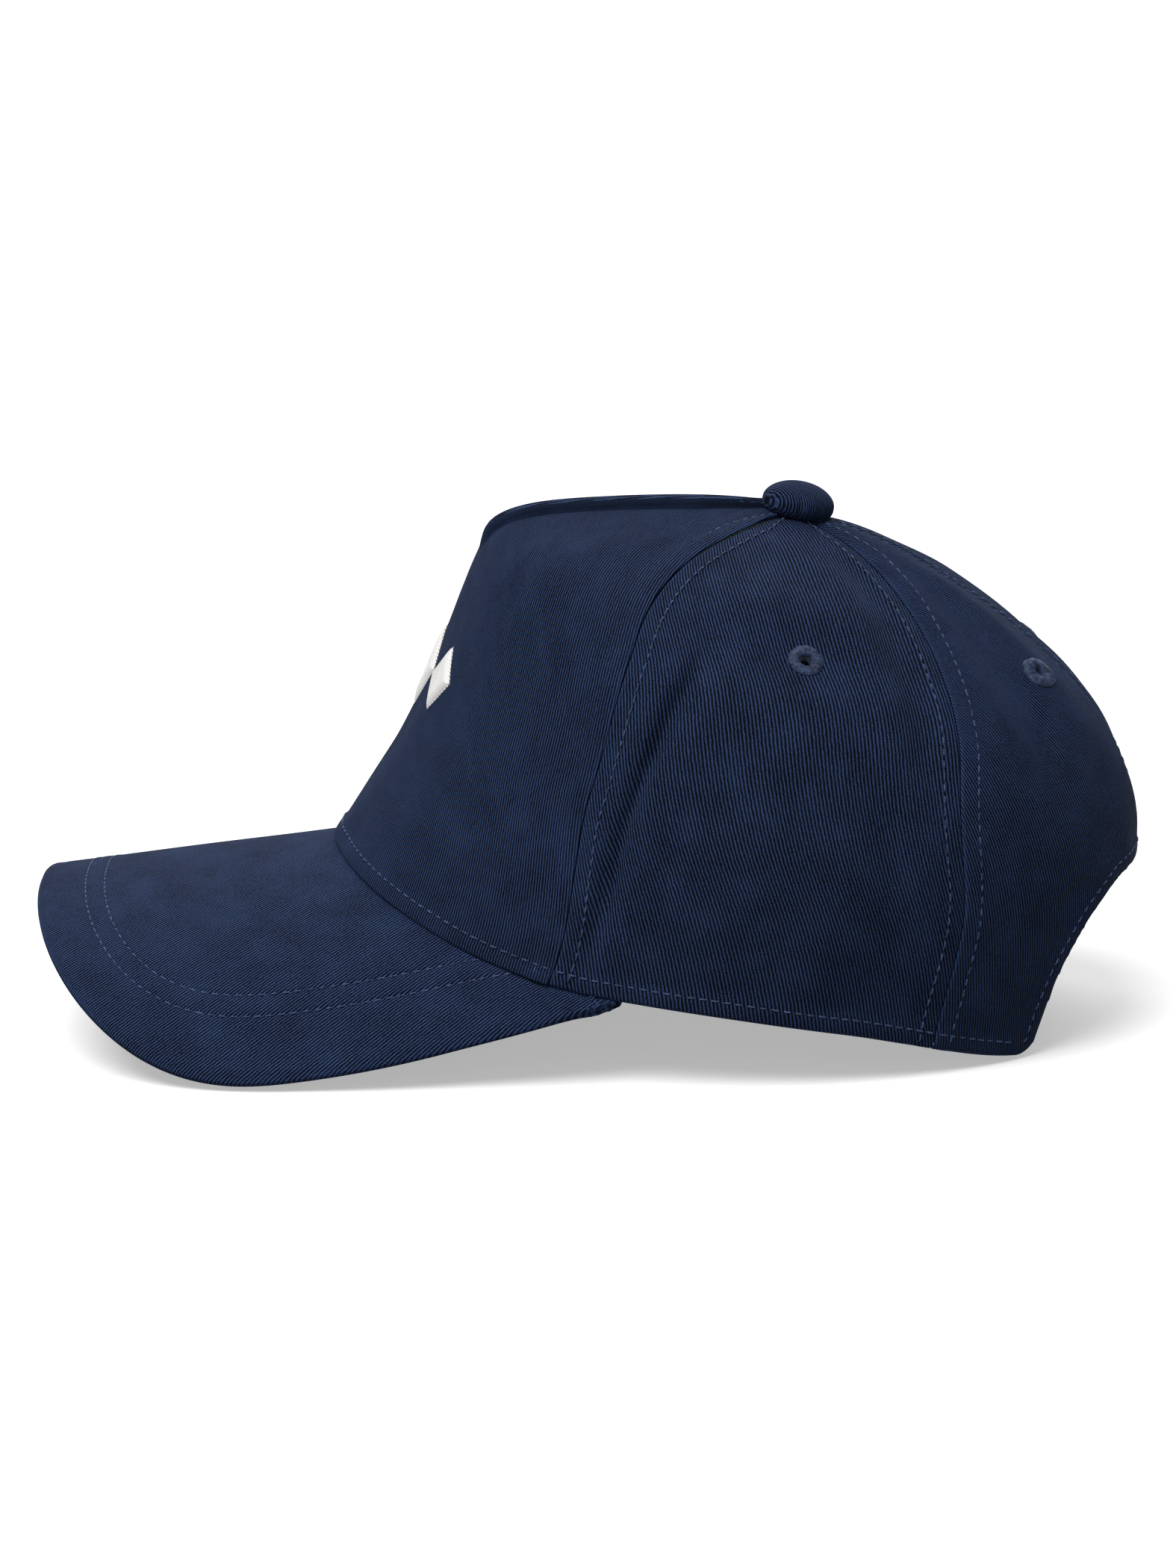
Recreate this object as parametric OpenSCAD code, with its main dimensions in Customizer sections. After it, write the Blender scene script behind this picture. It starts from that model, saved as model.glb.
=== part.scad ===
/* [Part] */
// Which sub-part to draw

/* [Crown] */
// Length of the crown from the front to the middle, at the hem
front_len = 102; // [94:1:110]
// Length of the crown from the middle to the back, at the hem
rear_len = 97; // [91:1:103]
// Half width of the crown at the hem
half_width = 81; // [76:1:86]
// Height of the crown from the hem plane to the top
crown_h = 116.5; // [106:0.5:124]
// Lean of the hem plane when the cap stands on a table, rear end lower
lean = 9.6; // [9.2:0.1:10]
// How far the middle of each rear and side panel swells between its seams
swell = 2.6; // [1:0.1:3.5]
// Thickness of the crown fabric
cloth_t = 0.8; // [0.6:0.1:0.9]
// Rise of the hem at the middle of the front, where the visor joins
front_rise = 14.3; // [13.5:0.1:16]
// Arch of the hem at the sides
side_rise = 2; // [1:0.5:3]

// Dip of the hem at the rear corners
rear_drop = 2.5; // [1.5:0.1:3.5]

/* [Seams] */
// Angle of the seam between the front and side panels, from the front
seam_front = 66; // [62:1:70]
// Angle of the seam between the side and rear panels, from the front
seam_rear = 125; // [121:1:129]
// Width of the seam tapes
tape_w = 12; // [9:1:14]
// Height of the sweatband
band_h = 32; // [26:1:36]

/* [Rear opening] */
// Half width of the arched rear opening at the hem
arch_half_w = 44.7; // [43:0.1:48]
// Height of the arched rear opening
arch_h = 45.5; // [40:0.5:50]
// Height of the closure strap
strap_h = 18; // [14:1:20]
// Thickness of the closure strap
strap_t = 1.6; // [1.2:0.1:1.8]

/* [Visor] */
// Length of the visor at its middle
visor_len = 76.3; // [72:0.1:80]
// Half width of the visor, measured straight across
visor_half_w = 84.5; // [83:0.5:86]
// Radius of the curve of the visor
visor_r = 106.5; // [103:0.5:108]
// Slope of the middle of the visor, front end lower
visor_slope = 7.3; // [6.8:0.1:8.5]
// Thickness of the visor board
board_t = 2; // [1.6:0.1:2.2]

/* [Fittings] */
// Diameter of the fabric button
button_d = 18.6; // [16:0.1:20]
// Height of the fabric button
button_h = 7.6; // [6:0.1:9]
// Outer diameter of an eyelet
eyelet_d = 8.5; // [7:0.1:9]
// Diameter of the hole of an eyelet
eyelet_hole = 2.8; // [2.2:0.1:3.2]

/* [Hidden] */

// place of the centre of the hem plane above the table
base_x = 33.63;
base_z = 16.04;
navy = [0.12, 0.18, 0.29];
dark = [0.09, 0.13, 0.22];
steel = [0.72, 0.72, 0.74];

// ---- profiles of the crown, distance from the axis and height, hem to top ----
hs = crown_h / 116.5;
front_pts = [[front_len + 9, -6], [front_len - 2.5, 22 * hs], [front_len - 12.6, 45 * hs],
             [front_len - 18.7, 68 * hs], [front_len - 22.3, 90 * hs],
             [front_len - 26.7, 103.5 * hs], [front_len - 50, 109.5 * hs],
             [30, 114 * hs], [12, 116.5 * hs], [0, crown_h]];
rear_pts = [[rear_len - 1, -6], [rear_len + 2.6, 20 * hs], [rear_len + 5, 40 * hs],
            [rear_len + 3.6, 57 * hs], [rear_len - 3.9, 72 * hs],
            [rear_len - 16.8, 86 * hs], [58.8, 98.4 * hs], [37.4, 108.4 * hs],
            [16, 115.5 * hs], [0, crown_h]];
side_pts = [[half_width - 0.5, -6], [half_width + 0.5, 18 * hs], [half_width - 0.5, 36 * hs],
            [half_width - 3.5, 53 * hs], [half_width - 10, 70 * hs],
            [half_width - 20, 84 * hs], [half_width - 35, 97 * hs],
            [29, 108 * hs], [13, 115 * hs], [0, crown_h]];

// smooth curve that starts and ends on the first and last point
function at_end(p, k) = p[max(0, min(len(p) - 1, k))];
function curve(p, t) =
    let (n = len(p) + 1, s = min(max(t, 0), 1) * n, i = min(floor(s), n - 1), u = s - i)
    at_end(p, i - 2) * pow(1 - u, 3) / 6
    + at_end(p, i - 1) * (3 * pow(u, 3) - 6 * u * u + 4) / 6
    + at_end(p, i) * (-3 * pow(u, 3) + 3 * u * u + 3 * u + 1) / 6
    + at_end(p, i + 1) * pow(u, 3) / 6;

function ease(lo, hi, t) = let (x = min(1, max(0, (t - lo) / (hi - lo)))) x * x * (3 - 2 * x);
// the seams bow: where they truly run at this parameter
function front_seam_a(t) = seam_front - 4.8 * ease(0.13, 0.33, t) - 9 * ease(0.5, 0.72, t);
function rear_seam_a(t) = seam_rear - 1.5 + 9.5 * ease(0.5, 0.8, t)
    - 2.5 * pow(sin(180 * min(1, max(0, (t - 0.22) / 0.34))), 2);
function true_a(a, t) =
    let (b = abs(a), f = front_seam_a(t), r = rear_seam_a(t))
    sign(a) * (b <= seam_front ? b * f / seam_front
    : b <= seam_rear ? f + (b - seam_front) * (r - f) / (seam_rear - seam_front)
    : r + (b - seam_rear) * (180 - r) / (180 - seam_rear));
// point of the bare crown at angle a0 from the front and parameter t
function crown0(a0, t) =
    let (a = true_a(a0, t))
    let (s = curve(side_pts, t), c = cos(a),
         m = c >= 0 ? curve(front_pts, t) : curve(rear_pts, t))
    [-m[0] * c, -s[0] * sin(a), m[1] * c * c + s[1] * sin(a) * sin(a)];

// how far the panel stands out at this place, nothing at the seams
function panel_f(a) =
    let (b = abs(a))
    b <= seam_front ? 0
    : b <= seam_rear ? (b - seam_front) / (seam_rear - seam_front)
    : (b - seam_rear) / (180 - seam_rear);
function stand(a, t) =
    let (f = panel_f(a), k = abs(a) > seam_rear ? 1.35 : 0.8)
    swell * k * 4 * f * (1 - f) * pow(max(0, sin(180 * min(1, max(0, t)))), 0.8);

function unit(v) = v / norm(v);
function normal0(a, t) =
    let (e = 0.4, d = 0.002, t2 = min(max(t, d), 1 - d))
    unit(cross(crown0(a + e, t2) - crown0(a - e, t2), crown0(a, t2 + d) - crown0(a, t2 - d)));
function crown1(a, t) = crown0(a, t) + normal0(a, t) * stand(a, t);
function normal1(a, t) =
    let (e = 0.5, d = 0.004, t2 = min(max(t, d), 1 - d))
    unit(cross(crown1(a + e, t2) - crown1(a - e, t2), crown1(a, t2 + d) - crown1(a, t2 - d)));
// point off the crown surface by o, outwards positive
function crown(a, t, o = 0) = crown1(a, t) + normal1(a, t) * o;

// parameter at which the crown reaches a height
function t_at(a, h, lo = 0, hi = 0.8, n = 16) =
    n == 0 ? (lo + hi) / 2
    : crown0(a, (lo + hi) / 2)[2] < h ? t_at(a, h, (lo + hi) / 2, hi, n - 1)
    : t_at(a, h, lo, (lo + hi) / 2, n - 1);

// height of the hem above the hem plane
function hem(a) =
    let (b = abs(a))
    front_rise * pow(max(0, cos(min(90, 1.25 * b))), 1.5)
    + side_rise * pow(max(0, sin(min(180, max(0, (b - 50) * 180 / 95)))), 2)
    - rear_drop * pow(max(0, sin(min(90, max(0, (b - 108) * 90 / 36)))), 2);
t_top = 0.975;
corner = 180 - asin(arch_half_w / half_width);

// edge of the rear opening, f from 0 at the hem to 1 at the middle of the arch
function arch_y(f) = (arch_half_w - 2 * sin(90 * f)) * pow(max(0, cos(90 * f)), 0.42);
function arch_z(f) = -rear_drop + (arch_h + rear_drop) * pow(max(0, sin(90 * f)), 0.62);
function arch_a(f) = 180 - asin(min(1, arch_y(f) / half_width));

// ---- closed shell between two grids of points ----
function tri(a, b, c, d) = [[a, b, c], [a, c, d]];
module shell(outer, inner) {
    nu = len(outer) - 1;
    nv = len(outer[0]) - 1;
    w = nv + 1;
    k = (nu + 1) * w;
    pts = concat([for (r = outer) for (p = r) p], [for (r = inner) for (p = r) p]);
    faces = concat(
        [for (i = [0:nu-1]) for (j = [0:nv-1])
            for (f = tri(i*w+j, i*w+j+1, (i+1)*w+j+1, (i+1)*w+j)) f],
        [for (i = [0:nu-1]) for (j = [0:nv-1])
            for (f = tri(k+i*w+j, k+(i+1)*w+j, k+(i+1)*w+j+1, k+i*w+j+1)) f],
        [for (j = [0:nv-1]) for (f = tri(j, k+j, k+j+1, j+1)) f],
        [for (j = [0:nv-1]) for (f = tri(nu*w+j, nu*w+j+1, k+nu*w+j+1, k+nu*w+j)) f],
        [for (i = [0:nu-1]) for (f = tri(i*w, (i+1)*w, k+(i+1)*w, k+i*w)) f],
        [for (i = [0:nu-1]) for (f = tri(i*w+nv, k+i*w+nv, k+(i+1)*w+nv, (i+1)*w+nv)) f]);
    polyhedron(pts, faces);
}

// the crown stands with its hem plane leaning
module seat() translate([base_x, 0, base_z]) rotate([0, lean, 0]) children();
function seated(p) =
    [base_x + p[0] * cos(lean) + p[2] * sin(lean), p[1],
     base_z - p[0] * sin(lean) + p[2] * cos(lean)];
module left() children();
module right() mirror([0, 1, 0]) children();

// strip of the crown between two angles, o1 outside and o2 inside
module crown_strip(a0, a1, nu, nv, o1, o2, t1, up = 0) {
    rows = function (o) [for (i = [0:nu])
        let (a = a0 + (a1 - a0) * i / nu, th = t_at(a, hem(a) + up))
        [for (j = [0:nv]) crown(a, th + (t1 - th) * j / nv, o)]];
    seat() shell(rows(o1), rows(o2));
}

// hole and frame for something set on the crown
module on_crown(a, t) {
    p = crown(a, t);
    n = normal1(a, t);
    seat() translate(p) rotate([0, acos(n[2]), atan2(n[1], n[0])]) children();
}
eyelet_side_a = 98.3;
eyelet_side_t = 0.579;
eyelet_rear_a = 150.7;
eyelet_rear_t = 0.567;
module eyelet_bore(a, t) on_crown(a, t) cylinder(r = eyelet_hole / 2 + 0.55, h = 8, center = true, $fn = 40);

// ---- crown panels ----
gap = 0.1;
module front_panel() color(navy)
    crown_strip(-seam_front + gap, seam_front - gap, 16, 13, 0, -cloth_t, t_top);

module side_shape() difference() {
    crown_strip(seam_front + gap, seam_rear - gap, 11, 18, 0, -cloth_t, t_top);
    eyelet_bore(eyelet_side_a, eyelet_side_t);
}
module left_side_panel() color(navy) left() side_shape();
module right_side_panel() color(navy) right() side_shape();

module rear_shape() {
    n1 = 4;
    n2 = 10;
    n = n1 + n2;
    bottom = [for (i = [0:n])
        i < n1 ? let (a = seam_rear + gap + (corner - seam_rear - gap) * i / n1) [a, hem(a)]
        : let (f = (i - n1) / n2) [min(arch_a(f), 180 - gap), arch_z(f)]];
    top = [for (i = [0:n]) seam_rear + gap + (180 - 2 * gap - seam_rear) * i / n];
    rows = function (o) [for (i = [0:n])
        let (b = bottom[i], th = t_at(b[0], b[1]))
        [for (j = [0:18]) let (v = j / 18)
            crown(b[0] + (top[i] - b[0]) * v, th + (t_top - th) * v, o)]];
    difference() {
        seat() shell(rows(0), rows(-cloth_t));
        eyelet_bore(eyelet_rear_a, eyelet_rear_t);
    }
}
module left_rear_panel() color(navy) left() rear_shape();
module right_rear_panel() color(navy) right() rear_shape();

// ---- stiffener and seam tapes inside ----
module front_buckram() color([0.85, 0.85, 0.82])
    crown_strip(-seam_front + 2, seam_front - 2, 18, 15, -1.45, -2.05, 0.88, 1.5);

// tape centred on a seam, o outside face
module tape(a, o, t1, nv) {
    rows = function (q) [for (i = [0:2])
        [for (j = [0:nv])
            let (t0 = t_at(a, hem(a) + 1.2), t = t0 + (t1 - t0) * j / nv,
                 r = max(12, norm([crown1(a, t)[0], crown1(a, t)[1]])),
                 d = (i - 1) * asin(min(0.7, tape_w / 2 / r)))
            crown(a + d, t, q)]];
    seat() shell(rows(o), rows(o - 0.5));
}
module left_front_seam_tape() color(dark) left() tape(seam_front, -2.35, 0.86, 18);
module right_front_seam_tape() color(dark) right() tape(seam_front, -2.35, 0.86, 18);
module left_rear_seam_tape() color(dark) left() tape(seam_rear, -1.3, 0.86, 18);
module right_rear_seam_tape() color(dark) right() tape(seam_rear, -1.3, 0.86, 18);
module dart_tape() color(dark) {
    rows = function (q) [for (i = [0:2])
        [for (j = [0:10])
            let (t = 0.5 + 0.32 * j / 10, r = max(14, crown1(0, t)[0] * -1),
                 d = (i - 1) * asin(min(0.6, tape_w / 2 / r)))
            crown(d, t, q)]];
    seat() shell(rows(-2.6), rows(-3.1));
}
module back_seam_tape() color(dark) {
    t0 = t_at(180, arch_h + 1.5);
    side = function (s) function (q) [for (i = [0:1])
        [for (j = [0:14])
            let (t = t0 + (0.86 - t0) * j / 14, r = max(14, crown1(180, t)[0]),
                 d = asin(min(0.6, tape_w / 2 / r)) * (1 - i))
            let (p = crown(180 - d, t, q)) [p[0], s * (i == 1 ? 0 : p[1]), p[2]]]];
    rows = function (q) concat(side(1)(q), [side(-1)(q)[0]]);
    seat() shell(rows(-2.35), rows(-2.85));
}

// tape that binds the edge of the rear opening, inside
module arch_tape() color(dark) {
    n = 22;
    rows = function (q) [for (i = [0:2 * n])
        let (s = i <= n ? 1 : -1, f = 0.32 + 0.68 * (i <= n ? i : 2 * n - i) / n,
             a = arch_a(f), h = arch_z(f), w = 8)
        [for (j = [0:2])
            let (d = 0.8 + w * j / 2,
                 a2 = a - d * pow(cos(90 * f), 0.8) * 0.68,
                 h2 = h + d * sin(90 * f),
                 p = crown(a2, t_at(a2, h2), q))
            [p[0], s * (i == n ? 0 : p[1]), p[2]]]];
    seat() shell(rows(-1.8), rows(-1.95));
}

// ---- sweatband and label ----
module sweatband() color(dark) {
    n = 44;
    a0 = corner - 2;
    rows = function (o) [for (i = [0:n])
        let (a = -a0 + 2 * a0 * i / n, t0 = t_at(a, hem(a) + 0.6),
             t1 = t_at(a, hem(a) + band_h))
        [for (j = [0:4]) crown(a, t0 + (t1 - t0) * j / 4, o)]];
    seat() shell(rows(-3.1), rows(-4.1));
}
module label() color([0.86, 0.86, 0.84]) {
    rows = function (o) [for (i = [0:4])
        let (a = 98 + 14 * i / 4)
        [for (j = [0:4]) crown(a, t_at(a, hem(a) + 10 + 26 * j / 4), o)]];
    left() seat() shell(rows(-4.5), rows(-4.9));
}

// ---- visor ----
visor_end = 73;
front_x = base_x + crown(0, t_at(0, hem(0)))[0] * cos(lean)
    + crown(0, t_at(0, hem(0)))[2] * sin(lean);
front_z = seated(crown(0, t_at(0, hem(0))))[2];
join_a = function (s) visor_end * s;
join = function (s)
    let (p = seated(crown(join_a(s), t_at(join_a(s), hem(join_a(s))), 0)),
         b = asin(p[1] / visor_r))
    p - [0, sin(b), cos(b)] * (board_t / 2 + 1.25);
tip_x = front_x - visor_len;
wide_x = tip_x + 70;
// outline of the visor, s from -1 to 1, seen from above
function rim(s) =
    let (b = abs(s), e = 0.77,
         j = join(s >= 0 ? 1 : -1), g = s >= 0 ? -1 : 1)
    b < 0.66
    ? let (q = 90 * b / 0.66)
      [wide_x - 70 * pow(cos(q), e), g * visor_half_w * pow(max(0.0001, sin(q)), e)]
    : let (q = (b - 0.66) / 0.34, x = wide_x + (j[0] - wide_x) * q)
      [x, g * (visor_half_w - (visor_half_w - abs(j[1]) - 1.5) * q * q)];
// height of the curved visor surface
function bend(x, y) =
    front_z - board_t / 2 - 1.25 - (front_x - x) * tan(visor_slope)
    - (visor_r - sqrt(visor_r * visor_r - y * y));
function visor0(s, d) =
    let (j = join(s), r = rim(s), p = [j[0], j[1]], w = norm(r - p),
         q = p + (r - p) * (w < 0.01 ? 0 : min(1.2, d / w)),
         k = pow(max(0, 1 - d / max(w, 8)), 3),
         z = bend(q[0], q[1]))
    [q[0], q[1], z + k * (j[2] - bend(j[0], j[1]))];
function visor_w(s) = let (j = join(s)) norm(rim(s) - [j[0], j[1]]);
function visor_n(s, d) =
    let (e = 0.01, g = 0.5,
         a = visor0(min(1, s + e), d) - visor0(max(-1, s - e), d),
         b = visor0(s, d + g) - visor0(s, max(0, d - g)),
         n = unit(cross(a, b)))
    n[2] < 0 ? -n : n;
// path across the visor: position of row, distance in from the rim, height
module visor_layer(rows_out, rows_in, n = 32, s1 = 0.985) {
    grid = function (rows) [for (i = [0:n])
        let (s = -s1 + 2 * s1 * i / n, w = visor_w(s))
        [for (r = rows)
            let (d = max(0.02 + r[0] * 0.05, r[0] * w - r[1] * min(1, w / 12)))
            visor0(s, d) + visor_n(s, d) * r[2]]];
    shell(grid(rows_in), grid(rows_out));
}
ht = board_t / 2;
cover_t = 0.7;
nr = 7;
module visor_top_cover() color(navy)
    visor_layer(
        concat([for (i = [0:nr]) [i / nr, 1.0 * i / nr, ht + 0.15 + cover_t]],
               [[1, 0.3, ht + 0.1], [1, 0, 0.5], [1, 0, 0.05]]),
        concat([for (i = [0:nr]) [i / nr, 1.6 * i / nr, ht + 0.15]],
               [[1, 1.1, ht - 0.2], [1, 0.9, 0.5], [1, 0.9, 0.05]]));
module visor_under_cover() color(dark)
    visor_layer(
        concat([for (i = [0:nr]) [i / nr, 1.6 * i / nr, -ht - 0.15]],
               [[1, 1.1, -ht + 0.2], [1, 0.9, -0.5], [1, 0.9, -0.05]]),
        concat([for (i = [0:nr]) [i / nr, 1.0 * i / nr, -ht - 0.15 - cover_t]],
               [[1, 0.3, -ht - 0.1], [1, 0, -0.5], [1, 0, -0.05]]));
module visor_board() color([0.9, 0.9, 0.88])
    visor_layer([for (i = [0:nr]) [i / nr, 2.1 * i / nr, ht]],
                [for (i = [0:nr]) [i / nr, 2.1 * i / nr, -ht]]);

// ---- embroidered motif of three plain lozenges ----
module lozenge(a, w, h) {
    n = 5;
    z0 = 63 * hs;
    rows = function (o) [for (i = [0:n])
        [for (j = [0:n])
            let (u = i / n * 2 - 1, v = j / n * 2 - 1,
                 da = (u - v) / 2 * w / 2 * 0.7, dz = (u + v) / 2 * h / 2)
            crown(a + da, t_at(a + da, z0 + dz), o)]];
    seat() shell(rows(1.2), rows(0.2));
}
module front_motif() color([0.93, 0.93, 0.92]) {
    lozenge(0, 17, 22);
    lozenge(14.5, 15, 17);
    lozenge(-14.5, 15, 17);
}

// ---- fabric button at the top ----
button_r = button_d / 2;
module at_top() seat() translate([0.9, 0, crown_h + 1.7]) children();
module dome(r, h, inset, low) {
    rotate_extrude($fn = 72) polygon(concat(
        [[0, h]],
        [for (i = [1:12]) [r * sin(90 * i / 12), low + (h - low) * cos(90 * i / 12)]],
        [[r - 0.3, low - 1.1], [r - inset, low - 1.7], [0, low - 1.7]]));
}
module button_cover() color(navy) at_top() difference() {
    dome(button_r, button_h, 1.2, 2);
    translate([0, 0, -0.001]) dome(button_r - 0.8, button_h - 0.8, 1, 2);
    translate([0, 0, -3]) cylinder(r = button_r - 1.9, h = 4.2, $fn = 72);
}
module button_shell() color(steel) at_top() difference() {
    dome(button_r - 0.95, button_h - 0.95, 1, 2.1);
    translate([0, 0, -0.02]) dome(button_r - 1.5, button_h - 1.5, 0.9, 1.7);
}
module button_shank() color(steel) at_top()
    translate([-0.3, 0, -5]) cylinder(r = 1.1, h = 5 + button_h - 1.7, $fn = 32);
module button_washer() color(steel) at_top() difference() {
    translate([0, 0, -4.75]) cylinder(r = 6.6, h = 0.6, $fn = 48);
    translate([0, 0, -5.7]) cylinder(r = 1.55, h = 3, $fn = 32);
}

// ---- embroidered eyelets ----
module eyelet_ring() rotate_extrude($fn = 56) difference() {
    union() {
        translate([eyelet_hole / 2, -1.6]) square([0.5, 2.5]);
        translate([eyelet_hole / 2, 0.3]) square([eyelet_d / 2 - eyelet_hole / 2 - 0.4, 0.7]);
        translate([eyelet_d / 2 - 0.4, 0.65]) circle(r = 0.35, $fn = 16);
        translate([eyelet_hole / 2, -1.8]) square([eyelet_d / 2 - eyelet_hole / 2 - 0.6, 0.6]);
    }
    translate([-5, -5]) square([5, 10]);
}
module left_side_eyelet() color([0.2, 0.27, 0.4])
    left() on_crown(eyelet_side_a, eyelet_side_t) eyelet_ring();
module right_side_eyelet() color([0.2, 0.27, 0.4])
    right() on_crown(eyelet_side_a, eyelet_side_t) eyelet_ring();
module left_rear_eyelet() color([0.2, 0.27, 0.4])
    left() on_crown(eyelet_rear_a, eyelet_rear_t) eyelet_ring();
module right_rear_eyelet() color([0.2, 0.27, 0.4])
    right() on_crown(eyelet_rear_a, eyelet_rear_t) eyelet_ring();

// ---- closure across the rear opening ----
// centre line of the strap at one height, first inside the crown and then straight across
strap_z = 3;
function inside(a, o, z) = let (p = crown(a, t_at(a, z), o)) [p[0], p[1]];
strap_o = -1.2 - strap_t / 2;
strap_zs = [for (j = [0:4]) strap_z + strap_h * j / 4];
buckle_x = inside(corner - 1.5, strap_o, 12)[0] + 1.6;
function strap_line(z) = let (p = inside(corner - 1.5, strap_o, z)) concat(
    [for (i = [0:4]) inside(corner - 11 + 9.5 * i / 4, strap_o, z)],
    [for (i = [1:9]) let (f = i / 9)
        [p[0] + (buckle_x - p[0]) * sin(90 * f), p[1] + (8 - p[1]) * f]],
    [[buckle_x, 19], [buckle_x, 30]]);
function side_of(l, o) = [for (i = [0:len(l)-1])
    let (d = unit(l[min(i + 1, len(l) - 1)] - l[max(i - 1, 0)])) l[i] + [-d[1], d[0]] * o];
// a band of thickness t whose centre line at height z is line(z)
module band(line, zs, t) {
    rows = function (o) let (l = [for (z = zs) side_of(line(z), o)])
        [for (i = [0:len(l[0]) - 1]) [for (j = [0:len(zs) - 1]) [l[j][i][0], l[j][i][1], zs[j]]]];
    shell(rows(-t / 2), rows(t / 2));
}
module closure_strap() color(navy) seat() band(function (z) strap_line(z), strap_zs, strap_t);

// buckle clamped on the strap, its own place on the line of the strap
buckle_y = 20;
module at_buckle() seat() translate([buckle_x, buckle_y, strap_z + strap_h / 2]) children();
bh = strap_h / 2;
plate_t = 0.7;
plate_x = -strap_t / 2 - 0.5 - plate_t;
pin_x = strap_t / 2 + 2.4;
module buckle_plate() color(steel) at_buckle() difference() {
    union() {
        translate([plate_x, -7, -bh - 1.6]) cube([plate_t, 14, 2 * bh + 3.2]);
        for (m = [-1, 1]) translate([plate_x, -5, m * (bh + 1.2) - 0.4])
            cube([pin_x - plate_x + 1.6, 8, 0.8]);
        for (m = [-1, 1]) translate([plate_x, 3, m * (bh + 1.2) - 0.4])
            cube([plate_t, 11, 0.8]);
        translate([plate_x + plate_t / 2, 13, -bh - 1.6]) cylinder(r = 0.8, h = 2 * bh + 3.2, $fn = 32);
    }
    translate([pin_x, -2, -bh - 3]) cylinder(r = 0.7, h = 2 * bh + 6, $fn = 32);
}
module buckle_pin() color(steel) at_buckle()
    translate([pin_x, -2, -bh - 1.6]) cylinder(r = 0.65, h = 2 * bh + 3.2, $fn = 32);
module buckle_lever() color(steel) at_buckle() difference() {
    union() {
        translate([pin_x, -2, -bh + 0.4]) cylinder(r = 1.6, h = 2 * bh - 0.8, $fn = 40);
        translate([pin_x + 0.7, -2, -bh + 0.4]) cube([0.9, 13, 2 * bh - 0.8]);
    }
    translate([pin_x, -2, -bh - 3]) cylinder(r = 0.7, h = 2 * bh + 6, $fn = 32);
}

// short fabric loop that holds the buckle on the other side
loop_t = 0.9;
loop_x = buckle_x + plate_x + plate_t / 2;
loop_zs = [for (j = [0:4]) strap_z + 1 + (strap_h - 2) * j / 4];
function loop_line(z) = concat(
    [for (i = [0:4]) let (p = inside(corner - 11 + 9.5 * i / 4, -1.2 - loop_t / 2, z)) [p[0], -p[1]]],
    [[loop_x + 1.5, 38], [loop_x + 1.5, 35.5], [loop_x + 1.5, 33.4]]);
module buckle_loop() color(navy) seat() union() {
    band(function (z) loop_line(z), loop_zs, loop_t);
    translate([loop_x, buckle_y + 13, strap_z + 1]) linear_extrude(strap_h - 2) difference() {
        circle(r = 1.95, $fn = 40);
        circle(r = 1.0, $fn = 40);
    }
}

front_panel();
left_side_panel();
right_side_panel();
left_rear_panel();
right_rear_panel();
front_buckram();
dart_tape();
left_front_seam_tape();
right_front_seam_tape();
left_rear_seam_tape();
right_rear_seam_tape();
back_seam_tape();
arch_tape();
sweatband();
label();
visor_top_cover();
visor_board();
visor_under_cover();
front_motif();
button_cover();
button_shell();
button_shank();
button_washer();
left_side_eyelet();
right_side_eyelet();
left_rear_eyelet();
right_rear_eyelet();
closure_strap();
buckle_loop();
buckle_plate();
buckle_pin();
buckle_lever();
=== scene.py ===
"""Looks of the baseball cap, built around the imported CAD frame. Lengths inside are in mm."""
import math

import bpy
import numpy as np
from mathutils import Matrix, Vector


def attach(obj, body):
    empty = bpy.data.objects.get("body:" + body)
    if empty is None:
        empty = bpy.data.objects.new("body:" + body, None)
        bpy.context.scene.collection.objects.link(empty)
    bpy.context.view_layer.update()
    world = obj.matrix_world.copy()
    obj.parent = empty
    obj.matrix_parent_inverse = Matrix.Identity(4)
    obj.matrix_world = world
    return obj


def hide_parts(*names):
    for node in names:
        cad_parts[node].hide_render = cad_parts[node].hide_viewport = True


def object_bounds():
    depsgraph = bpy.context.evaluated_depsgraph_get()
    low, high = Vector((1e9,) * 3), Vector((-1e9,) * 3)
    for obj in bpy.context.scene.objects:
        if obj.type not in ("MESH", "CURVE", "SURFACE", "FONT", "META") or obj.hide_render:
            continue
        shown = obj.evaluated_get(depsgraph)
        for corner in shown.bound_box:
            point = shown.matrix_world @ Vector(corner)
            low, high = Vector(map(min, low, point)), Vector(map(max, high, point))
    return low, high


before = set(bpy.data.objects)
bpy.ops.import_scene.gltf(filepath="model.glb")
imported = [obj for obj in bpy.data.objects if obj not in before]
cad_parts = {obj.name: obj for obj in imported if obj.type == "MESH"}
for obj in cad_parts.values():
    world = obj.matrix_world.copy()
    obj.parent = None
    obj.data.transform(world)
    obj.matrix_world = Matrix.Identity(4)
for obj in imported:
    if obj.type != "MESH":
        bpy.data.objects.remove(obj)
CAD_BOX = [list(v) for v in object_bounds()]

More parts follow.
